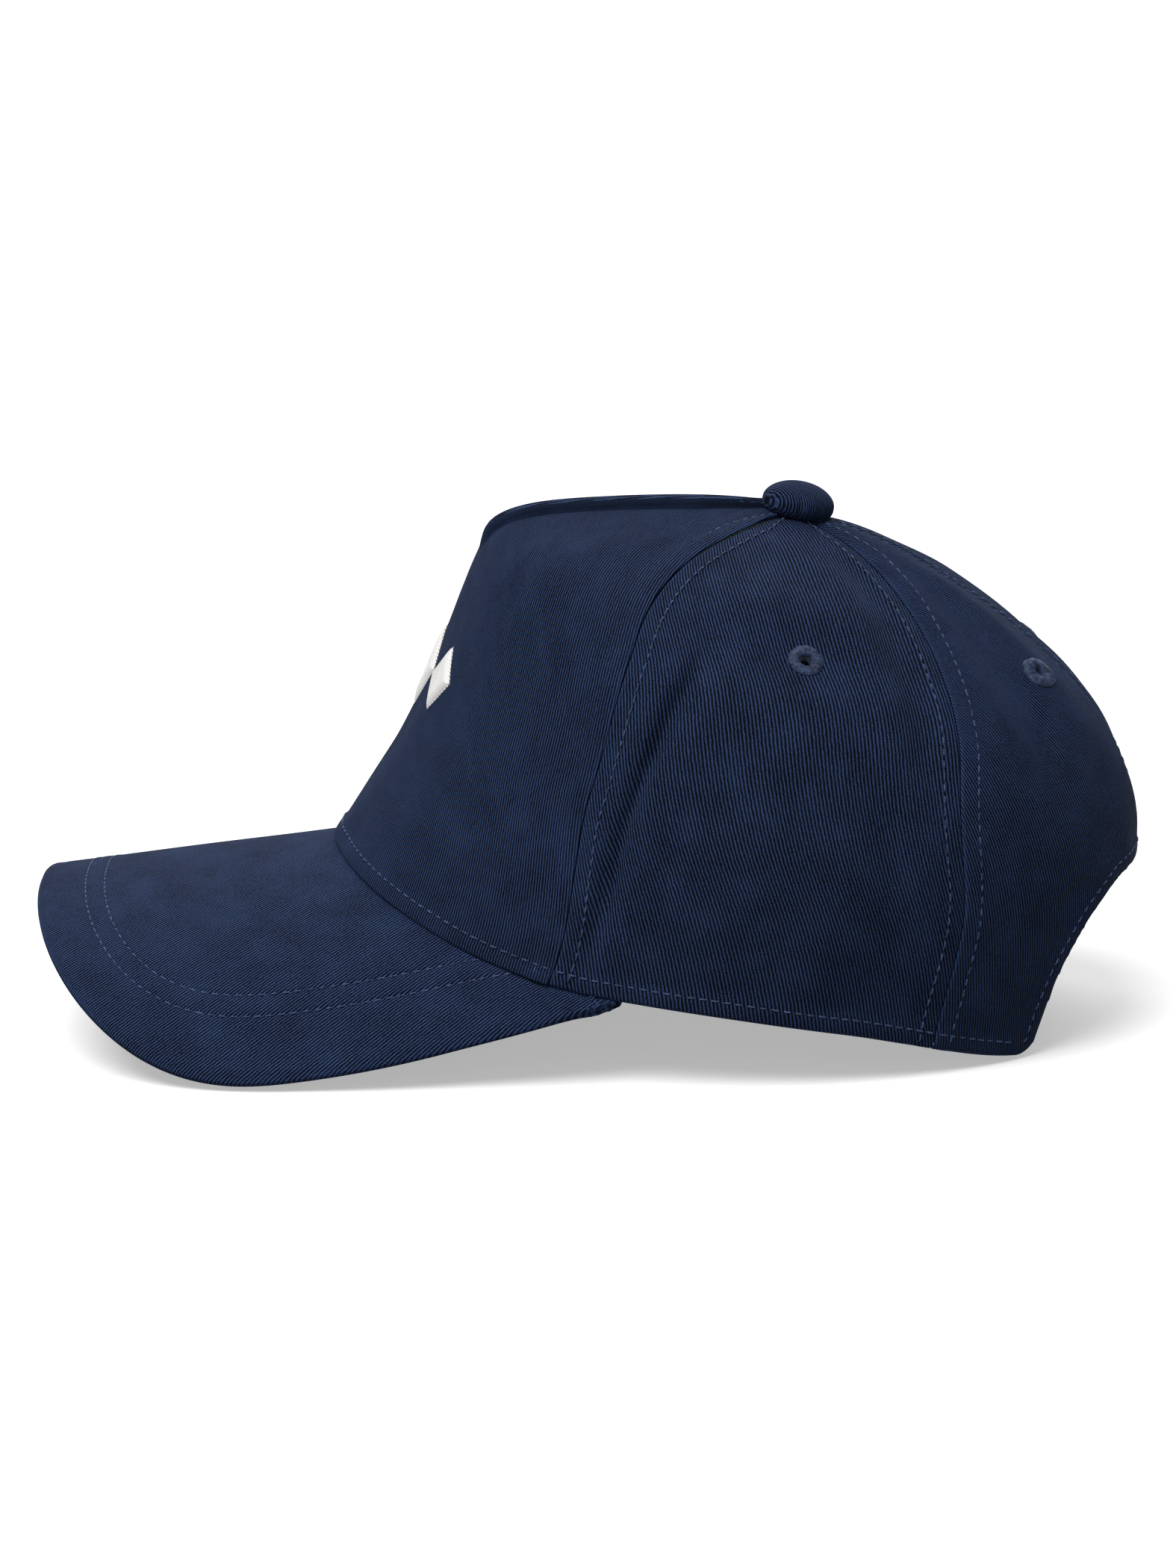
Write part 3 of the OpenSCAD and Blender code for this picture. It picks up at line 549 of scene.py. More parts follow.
def panel(name, edges, n_mid, rear, mat):
    """One crown panel: returns the piece, the flat size of its cut and its area."""
    front = name == "panel_front"
    a_mid = (edges[0] + edges[-1]) / 2
    sign = 1 if a_mid > 0 else -1
    hem_mid = t_at(a_mid, hem(a_mid))
    s, tau = tau_table(a_mid, float(hem_mid))
    top = s[-1]
    if rear:  # closer rows as far up as the opening reaches
        more = [np.arange(8.0, 60, 0.8)[1:],
                np.linspace(60, top, int((top - 60) / ROW_STEP))[1:]]
    else:
        more = [np.linspace(8.0, top, int((top - 8) / ROW_STEP) + 1)[1:]]
    rows = np.concatenate([ROWS] + more)
    tv = np.interp(rows, s, tau)
    t_mid = hem_mid + (T_TOP - hem_mid) * tv
    a, d = column_angles(edges, t_mid, n_mid)
    th = t_at(a, hem(a))
    t = th + (T_TOP - th) * tv[:, None]
    h = np.repeat(rows[:, None], a.shape[1], 1)
    faces = grid_faces(*a.shape)
    a0, t0 = a, t
    if rear:  # cut the opening, and move the points beside it onto its line
        la, lz = arch_line()
        b = np.abs(a)
        z = crown0(a, t)[..., 2]
        dist, near = line_distance(np.stack([b.ravel() * RING, z.ravel()], -1),
                                   np.stack([la * RING, lz], -1))
        near, dist = near.reshape(a.shape), dist.reshape(a.shape)
        y = HALF_W * np.abs(np.sin(np.radians(b)))
        out = inside_arch(y, z) | ((b > la[0]) & (z < lz[30]) & (b > la[near]))
        keep = ~(out & (dist > 0.35))
        h = np.minimum(h, np.where(out, 0, dist))
        whole = keep.ravel()[faces].all(1)
        border = np.intersect1d(faces[whole], faces[~whole])
        faces = faces[whole]
        snap = border[dist.ravel()[border] < 2.6]
        a, t, h = a.copy().ravel(), t.copy().ravel(), h.copy().ravel()
        ab, zb = la[near.ravel()[snap]] * sign, lz[near.ravel()[snap]]
        a[snap], t[snap], h[snap] = ab, t_at(ab, np.maximum(zb, hem(ab) - 0.01)), 0
        a, t, h = a.reshape(d.shape), t.reshape(d.shape), h.reshape(d.shape)
    for ea, et in (EYELET_SIDE, EYELET_REAR):
        k = radius_at(ea * sign, et)
        gap = np.hypot(np.radians(a - ea * sign) * k, arc_rate(ea * sign, et) * (t - et)).ravel()
        faces = faces[(gap[faces] > 2.3).all(1)]
    if front:
        mid_line = np.where(np.abs(a) < SEAM_F / 2, d, 99.0)
        z = crown0(a, t)[..., 2]
        rise = step(94, 101, z)
        # below the dart the front is one piece, so only its two side seams count
        d = np.minimum(np.radians(edges[-1] - np.abs(a)) * radius_at(a, t), 99)
        o = (seam_profile(d / np.minimum(1, radius_at(a, t) / 26)) + hem_profile(h)
             + rise * dart_profile(mid_line) + 0.35 * (1 - step(5, 9, d)))
    else:
        o = seam_profile(d) + hem_profile(h)
        if not rear:
            o = o - 0.25 * (1 - step(3, 9, d))
    p = seat(crown(a, t, o))
    u, v, half = flat_cut(a0, t0, a_mid, rows)
    if front:
        # the weave follows the side seams, and over the dart it follows the roll
        above = step(86, 101, z)
        pull = (1 - above) * step(0, 35, np.abs(a)) + above
        pull = pull * (1 - rise * (1 - step(3.6, 4.5, mid_line)))
        u = u + np.sign(a) * (half[20] - half) * pull
    cut = np.stack([u, v, np.minimum(d, h)], -1)
    used = np.unique(faces)
    remap = np.full(a.size, -1)
    remap[used] = np.arange(len(used))
    faces = remap[faces]
    verts = p.reshape(-1, 3)[used]
    obj = make(name, verts, faces, [mat], cut=cut.reshape(-1, 3)[used],
               thick=PANEL_T)
    width = float(np.ptp(u[:40], axis=1).max() + 12) * 1e-3
    area = area_of(verts, faces)
    length = (top + 12) * 1e-3
    length = max(length, area / width / 0.98)
    width = min(width, area / length / 0.32) if area < 0.31 * width * length else width
    return obj, (width, length), area


for label, node, edges, n_mid, rear, mat in (
        ("panel_front", "front_panel", [-SEAM_F, 0, SEAM_F], 34, False, NAVY_FRONT),
        ("panel_left_side", "left_side_panel", [SEAM_F, SEAM_R], 76, False, NAVY_SIDE),
        ("panel_right_side", "right_side_panel", [-SEAM_R, -SEAM_F], 76, False, NAVY_SIDE),
        ("panel_left_rear", "left_rear_panel", [SEAM_R, 180], 64, True, NAVY_REAR),
        ("panel_right_rear", "right_rear_panel", [-180, -SEAM_R], 64, True, NAVY_REAR)):
    obj, flat, area = panel(label, edges, n_mid, rear, mat)
    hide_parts(node)


# ---- topstitching of the crown
sew = Stitches()


def seam_rows(seam, widths, seed, t_lo=None):
    """Two rows beside a seam; widths are the spans of the panels below and above it."""
    t0 = t_at(seam, hem(seam) + 1.5) if t_lo is None else t_lo
    t = np.linspace(float(t0), T_TOP - 0.01, 260)
    for k, (side, span) in enumerate(((-1, widths[0]), (1, widths[1]))):
        r = radius_at(np.full(t.shape, seam + side * 1.0), t)
        s = np.minimum(1, np.radians(span) * r / (2 * EDGE[-1] * 1.2))
        a = seam + side * np.degrees(STITCH_D * s / r)
        up = crown0(a, t)[..., 2] - hem(a)
        o = seam_profile(np.full(t.shape, STITCH_D)) + hem_profile(np.maximum(1.2, up))
        sew.row(seat(crown(a, t, o)), seat_dir(normal(a, t)), seed=seed + k)


for sign in (1, -1):
    wide = ((66, 59), (59, 55))
    for n, (seam, w) in enumerate(((SEAM_F, wide[0]), (SEAM_R, wide[1]))):
        seam_rows(sign * seam, w if sign > 0 else w[::-1], seed=10 * n + (1 if sign > 0 else 50))
seam_rows(179.99, (55, 55), t_lo=float(t_at(179.9, ARCH_H + 2.0)), seed=70)


def hem_row(a0, a1, seed):
    """The row above the hem of one panel; it lies on the seam allowances at its ends."""
    a = np.linspace(a0, a1, int(abs(a1 - a0) * 5))
    t = t_at(a, hem(a) + HEM_D)
    d = np.radians(np.minimum(a - a.min(), a.max() - a)) * radius_at(a, t)
    o = hem_profile(np.full(a.shape, HEM_D)) + seam_profile(np.maximum(0.9, d + 0.6))
    sew.row(seat(crown(a, t, o)), seat_dir(normal(a, t)), seed=seed)


for n, (a0, a1) in enumerate(((-SEAM_F, SEAM_F), (SEAM_F, SEAM_R), (-SEAM_R, -SEAM_F),
                              (SEAM_R, CORNER - 6), (6 - CORNER, -SEAM_R))):
    hem_row(a0 + 0.3, a1 - 0.3, 90 + n)
la, lz = arch_line()
flat_line = np.stack([la * RING, lz], -1)
tan = unit(np.gradient(flat_line, axis=0))
moved = flat_line + np.stack([-tan[:, 1], tan[:, 0]], -1) * HEM_D
moved = moved[moved[:, 1] > hem(CORNER) + HEM_D - 0.3]
moved = resample(moved, 300)
for sign in (1, -1):
    a = sign * moved[:, 0] / RING
    t = t_at(a, moved[:, 1])
    path = seat(crown(a, t, hem_profile(np.full(a.shape, HEM_D))))
    ok = np.abs(a) < 179.2
    sew.row(path[ok], seat_dir(normal(a, t))[ok], seed=110 + sign)
# dart rows on the top of the front
t = np.linspace(float(t_at(0.1, 98.0)), 0.965, 160)
r = radius_at(np.zeros(160), t)
for k, off in enumerate((-DART_D, DART_D)):
    s = np.minimum(1, r / 14) * step(0, 0.16, (t - t[0]) / (t[-1] - t[0]) + 0.02)
    a = np.degrees(off * s / r)
    sew.row(seat(crown(a, t, dart_profile(np.array(DART_D)) - 0.1)), seat_dir(normal(a, t)),
            seed=130 + k)

# ---- visor
V_R, V_SLOPE, V_END, V_LEN, V_HALF = 106.5, math.radians(7.3), 73.0, 76.3, 84.5
V_DROP, V_KNEE, V_REACH = 2.25, 0.66, 1.03  # under the hem; where the rim turns; past the ends
V_THICK, V_CLOTH, V_LIFT = 1.85, 0.7, 1.62  # half thickness; cover; thread over the middle
front_p = seat(crown0(np.zeros(1), t_at(np.zeros(1), hem(np.zeros(1)))))[0]
FX, FZ = front_p[0], front_p[2]
WIDE_X = FX - V_LEN + 70


def visor_join(s):
    a = V_END * np.asarray(s, float)
    p = seat(crown1(a, t_at(a, hem(a))))
    b = np.arcsin(p[..., 1] / V_R)
    return p - np.stack([0 * b, np.sin(b), np.cos(b)], -1) * V_DROP


ENDS = {g: visor_join(float(g)) for g in (1, -1)}


def visor_rim(s):
    s = np.asarray(s, float)
    b, g = np.abs(s), np.where(s >= 0, -1, 1)
    jx, jy = ENDS[1][0], abs(ENDS[1][1])
    q = np.radians(90 * np.minimum(b, V_KNEE) / V_KNEE)
    x1 = WIDE_X - 70 * np.maximum(0, np.cos(q)) ** 0.77
    y1 = V_HALF * np.maximum(0.0001, np.sin(q)) ** 0.77
    f = np.clip((b - V_KNEE) / 0.34, 0, 1.1)
    x2 = WIDE_X + (jx - WIDE_X) * f
    y2 = V_HALF - (V_HALF - jy - 1.5) * f * f
    near = b < V_KNEE
    return np.stack([np.where(near, x1, x2), g * np.where(near, y1, y2)], -1)


def visor_bend(x, y):
    return FZ - V_DROP - (FX - x) * math.tan(V_SLOPE) - (V_R - np.sqrt(V_R**2 - y * y))


def visor_at(s, d):
    """Middle surface of the visor; d is the distance out from the crown."""
    j, r = visor_join(s), visor_rim(s)
    w = np.linalg.norm(r - j[..., :2], axis=-1)
    f = d / np.maximum(w, 0.01)
    q = j[..., :2] + (r - j[..., :2]) * f[..., None]
    k = np.clip(1 - d / np.maximum(w, 8), 0, 1) ** 3
    z = visor_bend(q[..., 0], q[..., 1])
    z = z + k * (j[..., 2] - visor_bend(j[..., 0], j[..., 1]))
    return np.stack([q[..., 0], q[..., 1], z], -1)


def end_widening(s):
    """How much wider than the rim the covers are near the ends, where they close."""
    return 1.2 * step(0.83, 0.98, np.abs(s))


def outline(s):
    """Edge of the covers in plan."""
    j, r = visor_join(s)[:, :2], visor_rim(s)
    w = np.linalg.norm(r - j, axis=1)
    return j + (r - j) * (1 + end_widening(s) / w)[:, None]


NS = 300
vs = np.linspace(-1, 1, NS) * V_REACH
jn, rm = visor_join(vs), visor_rim(vs)
vw = np.linalg.norm(rm - jn[:, :2], axis=-1)
edge_in = np.arange(0.0, 22.5, 0.45)
inner = np.linspace(0, 1, 56)[:-1]
dist_in = edge_in[:, None] * np.minimum(1, vw / 34)
far_d = vw + end_widening(vs)
v_rows = np.concatenate([(far_d - dist_in[-1]) * inner[:, None], (far_d[None] - dist_in)[::-1]])
v_rows = np.concatenate([np.linspace(-3.4, -0.4, 8)[:, None] + 0 * vw, v_rows])
rim_line = outline(np.linspace(-1, 1, 3001) * V_REACH)
for g in (1, -1):
    tip = visor_join(V_REACH * g)[:2]
    far = rim_line[-1] if g > 0 else rim_line[0]
    tip = tip + (tip - far) * 2.5
    more = far + (tip - far) * np.linspace(0, 1, 31)[:, None]
    rim_line = np.concatenate([rim_line, more] if g > 0 else [more[::-1], rim_line])
v_mid = visor_at(np.broadcast_to(vs, v_rows.shape), v_rows)
v_n = unit(np.cross(np.gradient(v_mid, axis=0), np.gradient(v_mid, axis=1)))
v_n = np.where(v_n[..., 2:] < 0, -v_n, v_n)
v_dist = line_distance(v_mid[..., :2].reshape(-1, 2), rim_line[::3])[0].reshape(v_rows.shape)
V_STITCH = (12.5, 17.4)


def visor_cover(name, node, up):
    """The cloth over (up = 1) or under (up = -1) the board, grooved at its stitch rows."""
    eff = v_dist / np.clip(vw / 12, 0.14, 1)
    bulge = V_THICK * np.sqrt(np.maximum(0, 1 - (np.maximum(0, 2.2 - eff) / 2.25) ** 2))
    close = np.sqrt(np.clip(1 - (np.maximum(0, np.abs(vs) - 1.008) / 0.022) ** 2, 0, 1))
    h = np.maximum(bulge * close, 0.04)
    for q in V_STITCH:
        h = h - 0.3 * bell(v_dist - q, 0.5)
    h = h + 0.12 * bell(v_dist - sum(V_STITCH) / 2, 1.6) - 0.0875 * bell(v_dist - 3.4, 1.1)
    h = h + 0.06 * np.sin(v_mid[..., 0] * 0.11) * np.sin(v_mid[..., 1] * 0.07)
    p = v_mid + v_n * (up * h)[..., None]
    faces = grid_faces(*v_rows.shape)
    flat = p.reshape(-1, 3)
    first = flat[faces[:, 0]]
    out = np.cross(flat[faces[:, 1]] - first, flat[faces[:, 3]] - first)
    if out[:, 2].mean() * up < 0:
        faces = faces[:, ::-1]
    cut = np.stack([V_R * np.arcsin(v_mid[..., 1] / V_R), v_mid[..., 0], v_dist], -1)
    obj = make(name, p, faces, [NAVY_VISOR],
               cut=cut.reshape(-1, 3), thick=V_CLOTH)
    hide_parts(node)
    return obj, area_of(p, faces)


v_top, v_area = visor_cover("visor_cover_top", "visor_top_cover", 1)
v_low, v_area2 = visor_cover("visor_cover_under", "visor_under_cover", -1)
for q in V_STITCH:
    path, up = [], []
    for j in range(NS):
        col = v_dist[:, j]
        if col.max() < q + 0.4 or vw[j] < 19:
            continue
        k = np.nonzero((col[:-1] >= q) & (col[1:] < q))[0]
        if not len(k):
            continue
        k = k[-1]
        f = (col[k] - q) / (col[k] - col[k + 1])
        path.append(v_mid[k, j] * (1 - f) + v_mid[k + 1, j] * f)
        up.append(v_n[k, j])
    path, up = np.array(path), np.array(up)
    sew.row(path + up * V_LIFT, up, seed=int(q))
    sew.row(path - up * V_LIFT, -up, seed=int(q) + 5)
sew.build("topstitching", THREAD)

# ---- button and eyelets
AT = np.array([0.9, 0.0, CROWN_H + 1.7])


def button():
    """The covered button: a dome of cloth with a pleated skirt; AT is its foot."""
    r, h, low = 9.3, 7.6, 2.0
    n_a, prof = 180, []
    for u in np.linspace(0.03, 1, 34):
        q = u * math.pi / 2
        prof.append((r * math.sin(q), low + (h - low) * math.cos(q)))
    prof += [(r - 0.02, low - 0.5), (r - 0.1, low - 1.1), (r - 0.35, low - 1.8),
             (r - 0.85, low - 2.5), (r - 1.7, low - 3.2), (r - 3.0, low - 3.7)]
    prof = np.array(prof)
    ang = np.arange(n_a) / n_a * 2 * math.pi
    rr = prof[:, 0, None] + 0 * ang
    pleat = np.sin(ang * 22 + 0.7 * np.sin(ang * 3)) * 0.12
    fade = step(0.55, 1.0, np.arange(len(prof)) / 34)[:, None]
    rr = rr + pleat * fade
    zz = prof[:, 1, None] + 0.05 * np.sin(ang * 5)[None] * fade
    p = np.stack([rr * np.cos(ang), rr * np.sin(ang), zz], -1)
    top = np.array([[0, 0, h]])
    verts = np.concatenate([p.reshape(-1, 3), top]) + AT
    faces = grid_faces(len(prof), n_a, True)[:, ::-1].tolist()
    k = len(verts) - 1
    faces += [[k, i, (i + 1) % n_a] for i in range(n_a)]
    q = verts - AT
    cut = np.stack([q[:, 0] * 1.1, q[:, 1] * 1.1, np.full(len(q), 9.0)], -1)
    obj = make("button_cloth", seat(verts), faces, [NAVY_BTN], cut=cut,
               thick=0.7)
    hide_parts("button_cover")
    return obj, area_of(verts, grid_faces(len(prof), n_a, True)), (30.0, 30.0)


button_obj = button()


def eyelet(name, node, a0, t0, seed):
    """A ring of radial stitches of uneven length and height."""
    rng = np.random.default_rng(seed)
    n, per = 44, 6
    prof = [(1.42, -1.7), (1.4, -0.4), (1.45, 0.55), (1.8, 1.0), (2.5, 1.16), (3.2, 1.05),
            (3.75, 0.78), (4.1, 0.42), (4.22, 0.1), (4.1, -0.15), (3.0, -0.3), (2.2, -1.8)]
    prof = np.array(prof)
    ang = np.arange(n * per) / (n * per) * 2 * math.pi
    ridge = np.abs(np.cos(ang * n / 2)) ** 0.7
    length = np.repeat(rng.uniform(-0.18, 0.16, n), per)
    high = np.repeat(rng.uniform(-0.06, 0.06, n), per)
    k = np.clip((prof[:, 0] - 1.4) / 2.8, 0, 1)[:, None]
    top = (prof[:, 1] > 0)[:, None] * 1.0
    rr = prof[:, 0, None] * 1.05 + k * length[None] * top
    hh = prof[:, 1, None] + top * (0.16 * (ridge - 0.6) + high)[None]
    x, y = rr * np.cos(ang), rr * np.sin(ang)
    a = a0 + np.degrees(x / radius_at(a0, t0))
    t = t0 + y / arc_rate(a0, t0)
    p = seat(crown(a, t, hh))
    cut = np.stack([np.broadcast_to(ang / (2 * math.pi) * n, rr.shape), rr, rr * 0 + 9], -1)
    obj = make(name, p, grid_faces(len(prof), n * per, True), [THREAD_NAVY],
               cut=cut.reshape(-1, 3))
    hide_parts(node)


for side, sg in (("left", 1), ("right", -1)):
    for kind, (ea, et) in (("side", EYELET_SIDE), ("rear", EYELET_REAR)):
        eyelet("eyelet_%s_%s" % (side, kind), "%s_%s_eyelet" % (side, kind), sg * ea, et,
               int(ea) + (7 if sg > 0 else 0))

# ---- embroidered lozenges
def satin():
    """White satin stitch: glossy threads side by side."""
    m = Nodes("satin_stitch")
    cut, (_, v, _) = m.cut()
    noise = m.add("TexNoise", {"Vector": cut, "Scale": 1.2, "Detail": 2.0})
    wave = m.math("SINE", m.math("MULTIPLY", m.math(
        "ADD", v, m.math("MULTIPLY", noise, 0.15)), math.tau / 0.46))
    wave = m.math("ADD", m.math("MULTIPLY", wave, 0.5), 0.5)
    bump = m.add("Bump", {"Strength": 0.6, "Distance": 0.00014, "Height": wave})
    return m.set(Base_Color=m.mix(wave, srgb(206, 204, 202), srgb(240, 239, 236)),
                 Roughness=0.42, Normal=bump, Sheen_Weight=0.15, Specular_IOR_Level=0.5)


SATIN = satin()


def lozenge(k, a0, w, h):
    """Two satin-stitched halves that meet on the middle line, slightly padded."""
    n = 46
    u, v = np.meshgrid(np.linspace(-1, 1, n), np.linspace(-1, 1, n), indexing="ij")
    x, y = (u - v) / 2 * w / 2, (u + v) / 2 * h / 2
    rim = np.minimum(1 - np.abs(u), 1 - np.abs(v)) * 5.5
    rag = 0.16 * np.sin(y * math.tau / 0.92) * (rim < 0.3)
    z0 = 63.0
    r = radius_at(a0, t_at(a0, z0))
    a = a0 + np.degrees((x + rag * np.sign(x)) / r)
    t = t_at(a, z0 + y)
    height = 1.15 * np.sqrt(np.clip(rim / 1.6, 0, 1)) * (1 - 0.45 * bell(x, 0.35))
    top = seat(crown(a, t, 0.05 + height))
    low = seat(crown(a, t, -0.1))
    f = grid_faces(n, n)
    verts = np.concatenate([top.reshape(-1, 3), low.reshape(-1, 3)])
    m = n * n
    edge = np.concatenate([np.arange(n) * n, (n - 1) * n + np.arange(1, n),
                           (np.arange(n - 2, -1, -1)) * n + n - 1, np.arange(n - 2, 0, -1)])
    nxt = np.roll(edge, -1)
    wall = np.stack([edge, nxt, nxt + m, edge + m], -1)
    faces = np.concatenate([f[:, ::-1], f + m, wall])
    cut = np.stack([x, y + 0.55 * np.abs(x), rim], -1).reshape(-1, 3)
    return make("lozenge_%d" % k, verts, faces, [SATIN],
                cut=np.concatenate([cut, cut]))


motif = [lozenge(k, *v) for k, v in enumerate(((0.0, 17, 22), (14.5, 15, 17), (-14.5, 15, 17)))]
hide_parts("front_motif")

# ---- inside of the crown
sew_in = Stitches()


def lining(name, node, a, h_or_t, o, thick, mat, by_t=True):
    """A cloth layer inside the crown from grids of angle and parameter."""
    t = h_or_t if by_t else t_at(a, h_or_t)
    p = seat(crown(a, t, o))
    ref = np.linalg.norm(np.diff(p, axis=1), axis=2).cumsum(1)
    ref = np.concatenate([np.zeros((len(p), 1)), ref], 1)
    up = np.linalg.norm(np.diff(p, axis=0), axis=2).cumsum(0)
    up = np.concatenate([np.zeros((1, p.shape[1])), up], 0)
    rim = np.minimum(np.minimum(ref, ref[:, -1:] - ref), np.minimum(up, up[-1:] - up))
    cut = np.stack([ref - ref[:, -1:] / 2, up, rim], -1)
    faces = grid_faces(*a.shape)
    obj = make(name, p, faces, [mat], cut=cut.reshape(-1, 3), thick=thick)
    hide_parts(node)
    return obj, area_of(p, faces), (float(ref[:, -1].max()), float(up[-1].max()))


BUCKRAM = twill("buckram_mesh", srgb(176, 176, 170), srgb(226, 225, 218), pitch=1.25, lean=0.0,
                bump=0.9, edge=0.0, sheen=0.05)
LABEL = twill("label_satin", srgb(206, 206, 203), srgb(238, 237, 233), pitch=0.3, lean=0.0,
              bump=0.25, edge=0.0, sheen=0.3)
BAND = twill("sweatband_twill", DEEP, PALE, pitch=0.8, lean=-20.0)
STRAP = twill("strap_twill", DEEP, PALE, pitch=0.9, lean=40.0)

aa = np.linspace(-64, 64, 120)[None]
th = t_at(aa, hem(aa) + 1.5)
buck = lining("buckram_front", "front_buckram", np.repeat(aa, 90, 0),
              th + (0.93 - th) * np.linspace(0, 1, 90)[:, None], -1.2, 0.5, BUCKRAM)


TAPE_HALF, TAPE_T, TAPE_TOP = 6.0, 0.45, 0.93


def tape(name, node, seam, o, t0):
    """A tape over the inside of a seam, from t0 up, with a row along each edge."""
    n = 150
    t = np.linspace(t0, TAPE_TOP, n)[:, None]
    r = np.maximum(12, radius_at(np.full(n, float(seam)), t[:, 0]))[:, None]
    d = np.linspace(-TAPE_HALF, TAPE_HALF, 21)[None]
    a = seam + np.degrees(d / r)
    oo = o + 0.35 * bell(d, 0.5) + 0.15 * bell(np.abs(d) - 4.6, 0.6)
    res = lining(name, node, a, np.repeat(t, 21, 1), oo, TAPE_T, INNER)
    for k, q in enumerate((-4.6, 4.6)):
        av = seam + np.degrees(q / r[:, 0])
        sew_in.row(seat(crown(av, t[:, 0], o - TAPE_T - 0.05)),
                   -seat_dir(normal(av, t[:, 0])), seed=200 + k + int(abs(seam)))
    return res


low_f, low_r = (float(t_at(q, hem(q) + 1.2)) for q in (SEAM_F, SEAM_R))
tapes = [tape(*row) for row in (
        ("tape_front_left", "left_front_seam_tape", SEAM_F, -2.3, low_f),
        ("tape_front_right", "right_front_seam_tape", -SEAM_F, -2.3, low_f),
        ("tape_rear_left", "left_rear_seam_tape", SEAM_R, -1.4, low_r),
        ("tape_rear_right", "right_rear_seam_tape", -SEAM_R, -1.4, low_r),
        ("tape_dart", "dart_tape", 0.0, -2.3, 0.5),
        ("tape_back", "back_seam_tape", 179.999, -1.9, float(t_at(179.9, ARCH_H + 1.5))))]

# binding of the rear opening, laid out flat on one side and mirrored to the other
y, z = arch_edge(0.30 + 0.70 * np.linspace(0, 1, 120))
b = 180 - np.degrees(np.arcsin(np.minimum(1, y / HALF_W)))
bind = resample(np.stack([b * RING, z], -1), 160)
bt = unit(np.gradient(bind, axis=0))
bn = np.stack([-bt[:, 1], bt[:, 0]], -1)
bn[:, 1] = np.maximum(bn[:, 1], 0)
q = bind[:, None] + bn[:, None] * np.linspace(0.9, 9.0, 12)[None, :, None]
a = np.minimum(179.9, q[..., 0] / RING)
arch_a = np.concatenate([a, -a[::-1][1:]])
arch_t = t_at(arch_a, np.concatenate([q[..., 1], q[..., 1][::-1][1:]]))
bind_tape = lining("binding_rear_opening", "arch_tape", arch_a.T, arch_t.T, -1.1, 0.35, INNER)
for k in (2, 9):
    sew_in.row(seat(crown(arch_a[:, k], arch_t[:, k], -1.52)),
               -seat_dir(normal(arch_a[:, k], arch_t[:, k])), seed=260 + k)

# sweatband: a folded strip with a ridge at each of its two rows
aa = np.linspace(2 - CORNER, CORNER - 2, 420)[None]
up = np.concatenate([[0.6, 0.9, 1.5, 2.4, 3.2, 3.8, 4.4], np.linspace(5.2, 27, 26),
                     [27.8, 28.3, 28.8, 29.3, 30, 30.8, 31.4, 31.8, 32.0]])[:, None]
wave = 0.12 * np.sin(np.radians(aa) * 23) * np.sin(up * 0.12) + 0.1 * np.sin(np.radians(aa) * 61)
roll = 0.21 * (bell(up - 4, 0.5) + bell(up - 28.5, 0.5))
band = lining("sweatband_cloth", "sweatband", np.repeat(aa, len(up), 0), hem(aa) + up,
              -3.15 + roll + wave, 0.95, BAND, by_t=False)
for k, h in enumerate((4.0, 28.5)):
    a = aa[0, 4:-4]
    t = t_at(a, hem(a) + h)
    sew_in.row(seat(crown(a, t, -3.9)), -seat_dir(normal(a, t)), seed=280 + k)

# care label, blank
aa = np.linspace(98, 112, 40)[None]
up = np.linspace(10, 36, 60)[:, None]
curl = 0.25 * step(26, 36, up) + 0.08 * np.sin(aa * 0.9) * np.sin(up * 0.2)
tag = lining("care_label", "label", np.repeat(aa, 60, 0), hem(aa) + up, -4.45 - curl, 0.35, LABEL,
             by_t=False)

# ---- closure
STRAP_Z, STRAP_H, STRAP_T, LOOP_T = 3.0, 18.0, 1.6, 0.9


def crown_plain(a, z, o):
    """Plan of the crown without its folds."""
    t = t_at(np.asarray(a, float), np.asarray(z, float))
    n = normal_of(crown1, a, t, 0.5, 0.004)
    return (crown1(a, t) + n * o)[..., :2]


S_O = -1.2 - STRAP_T / 2
BX = float(crown_plain(np.array(CORNER - 1.5), np.array(12.0), S_O)[0]) + 1.6


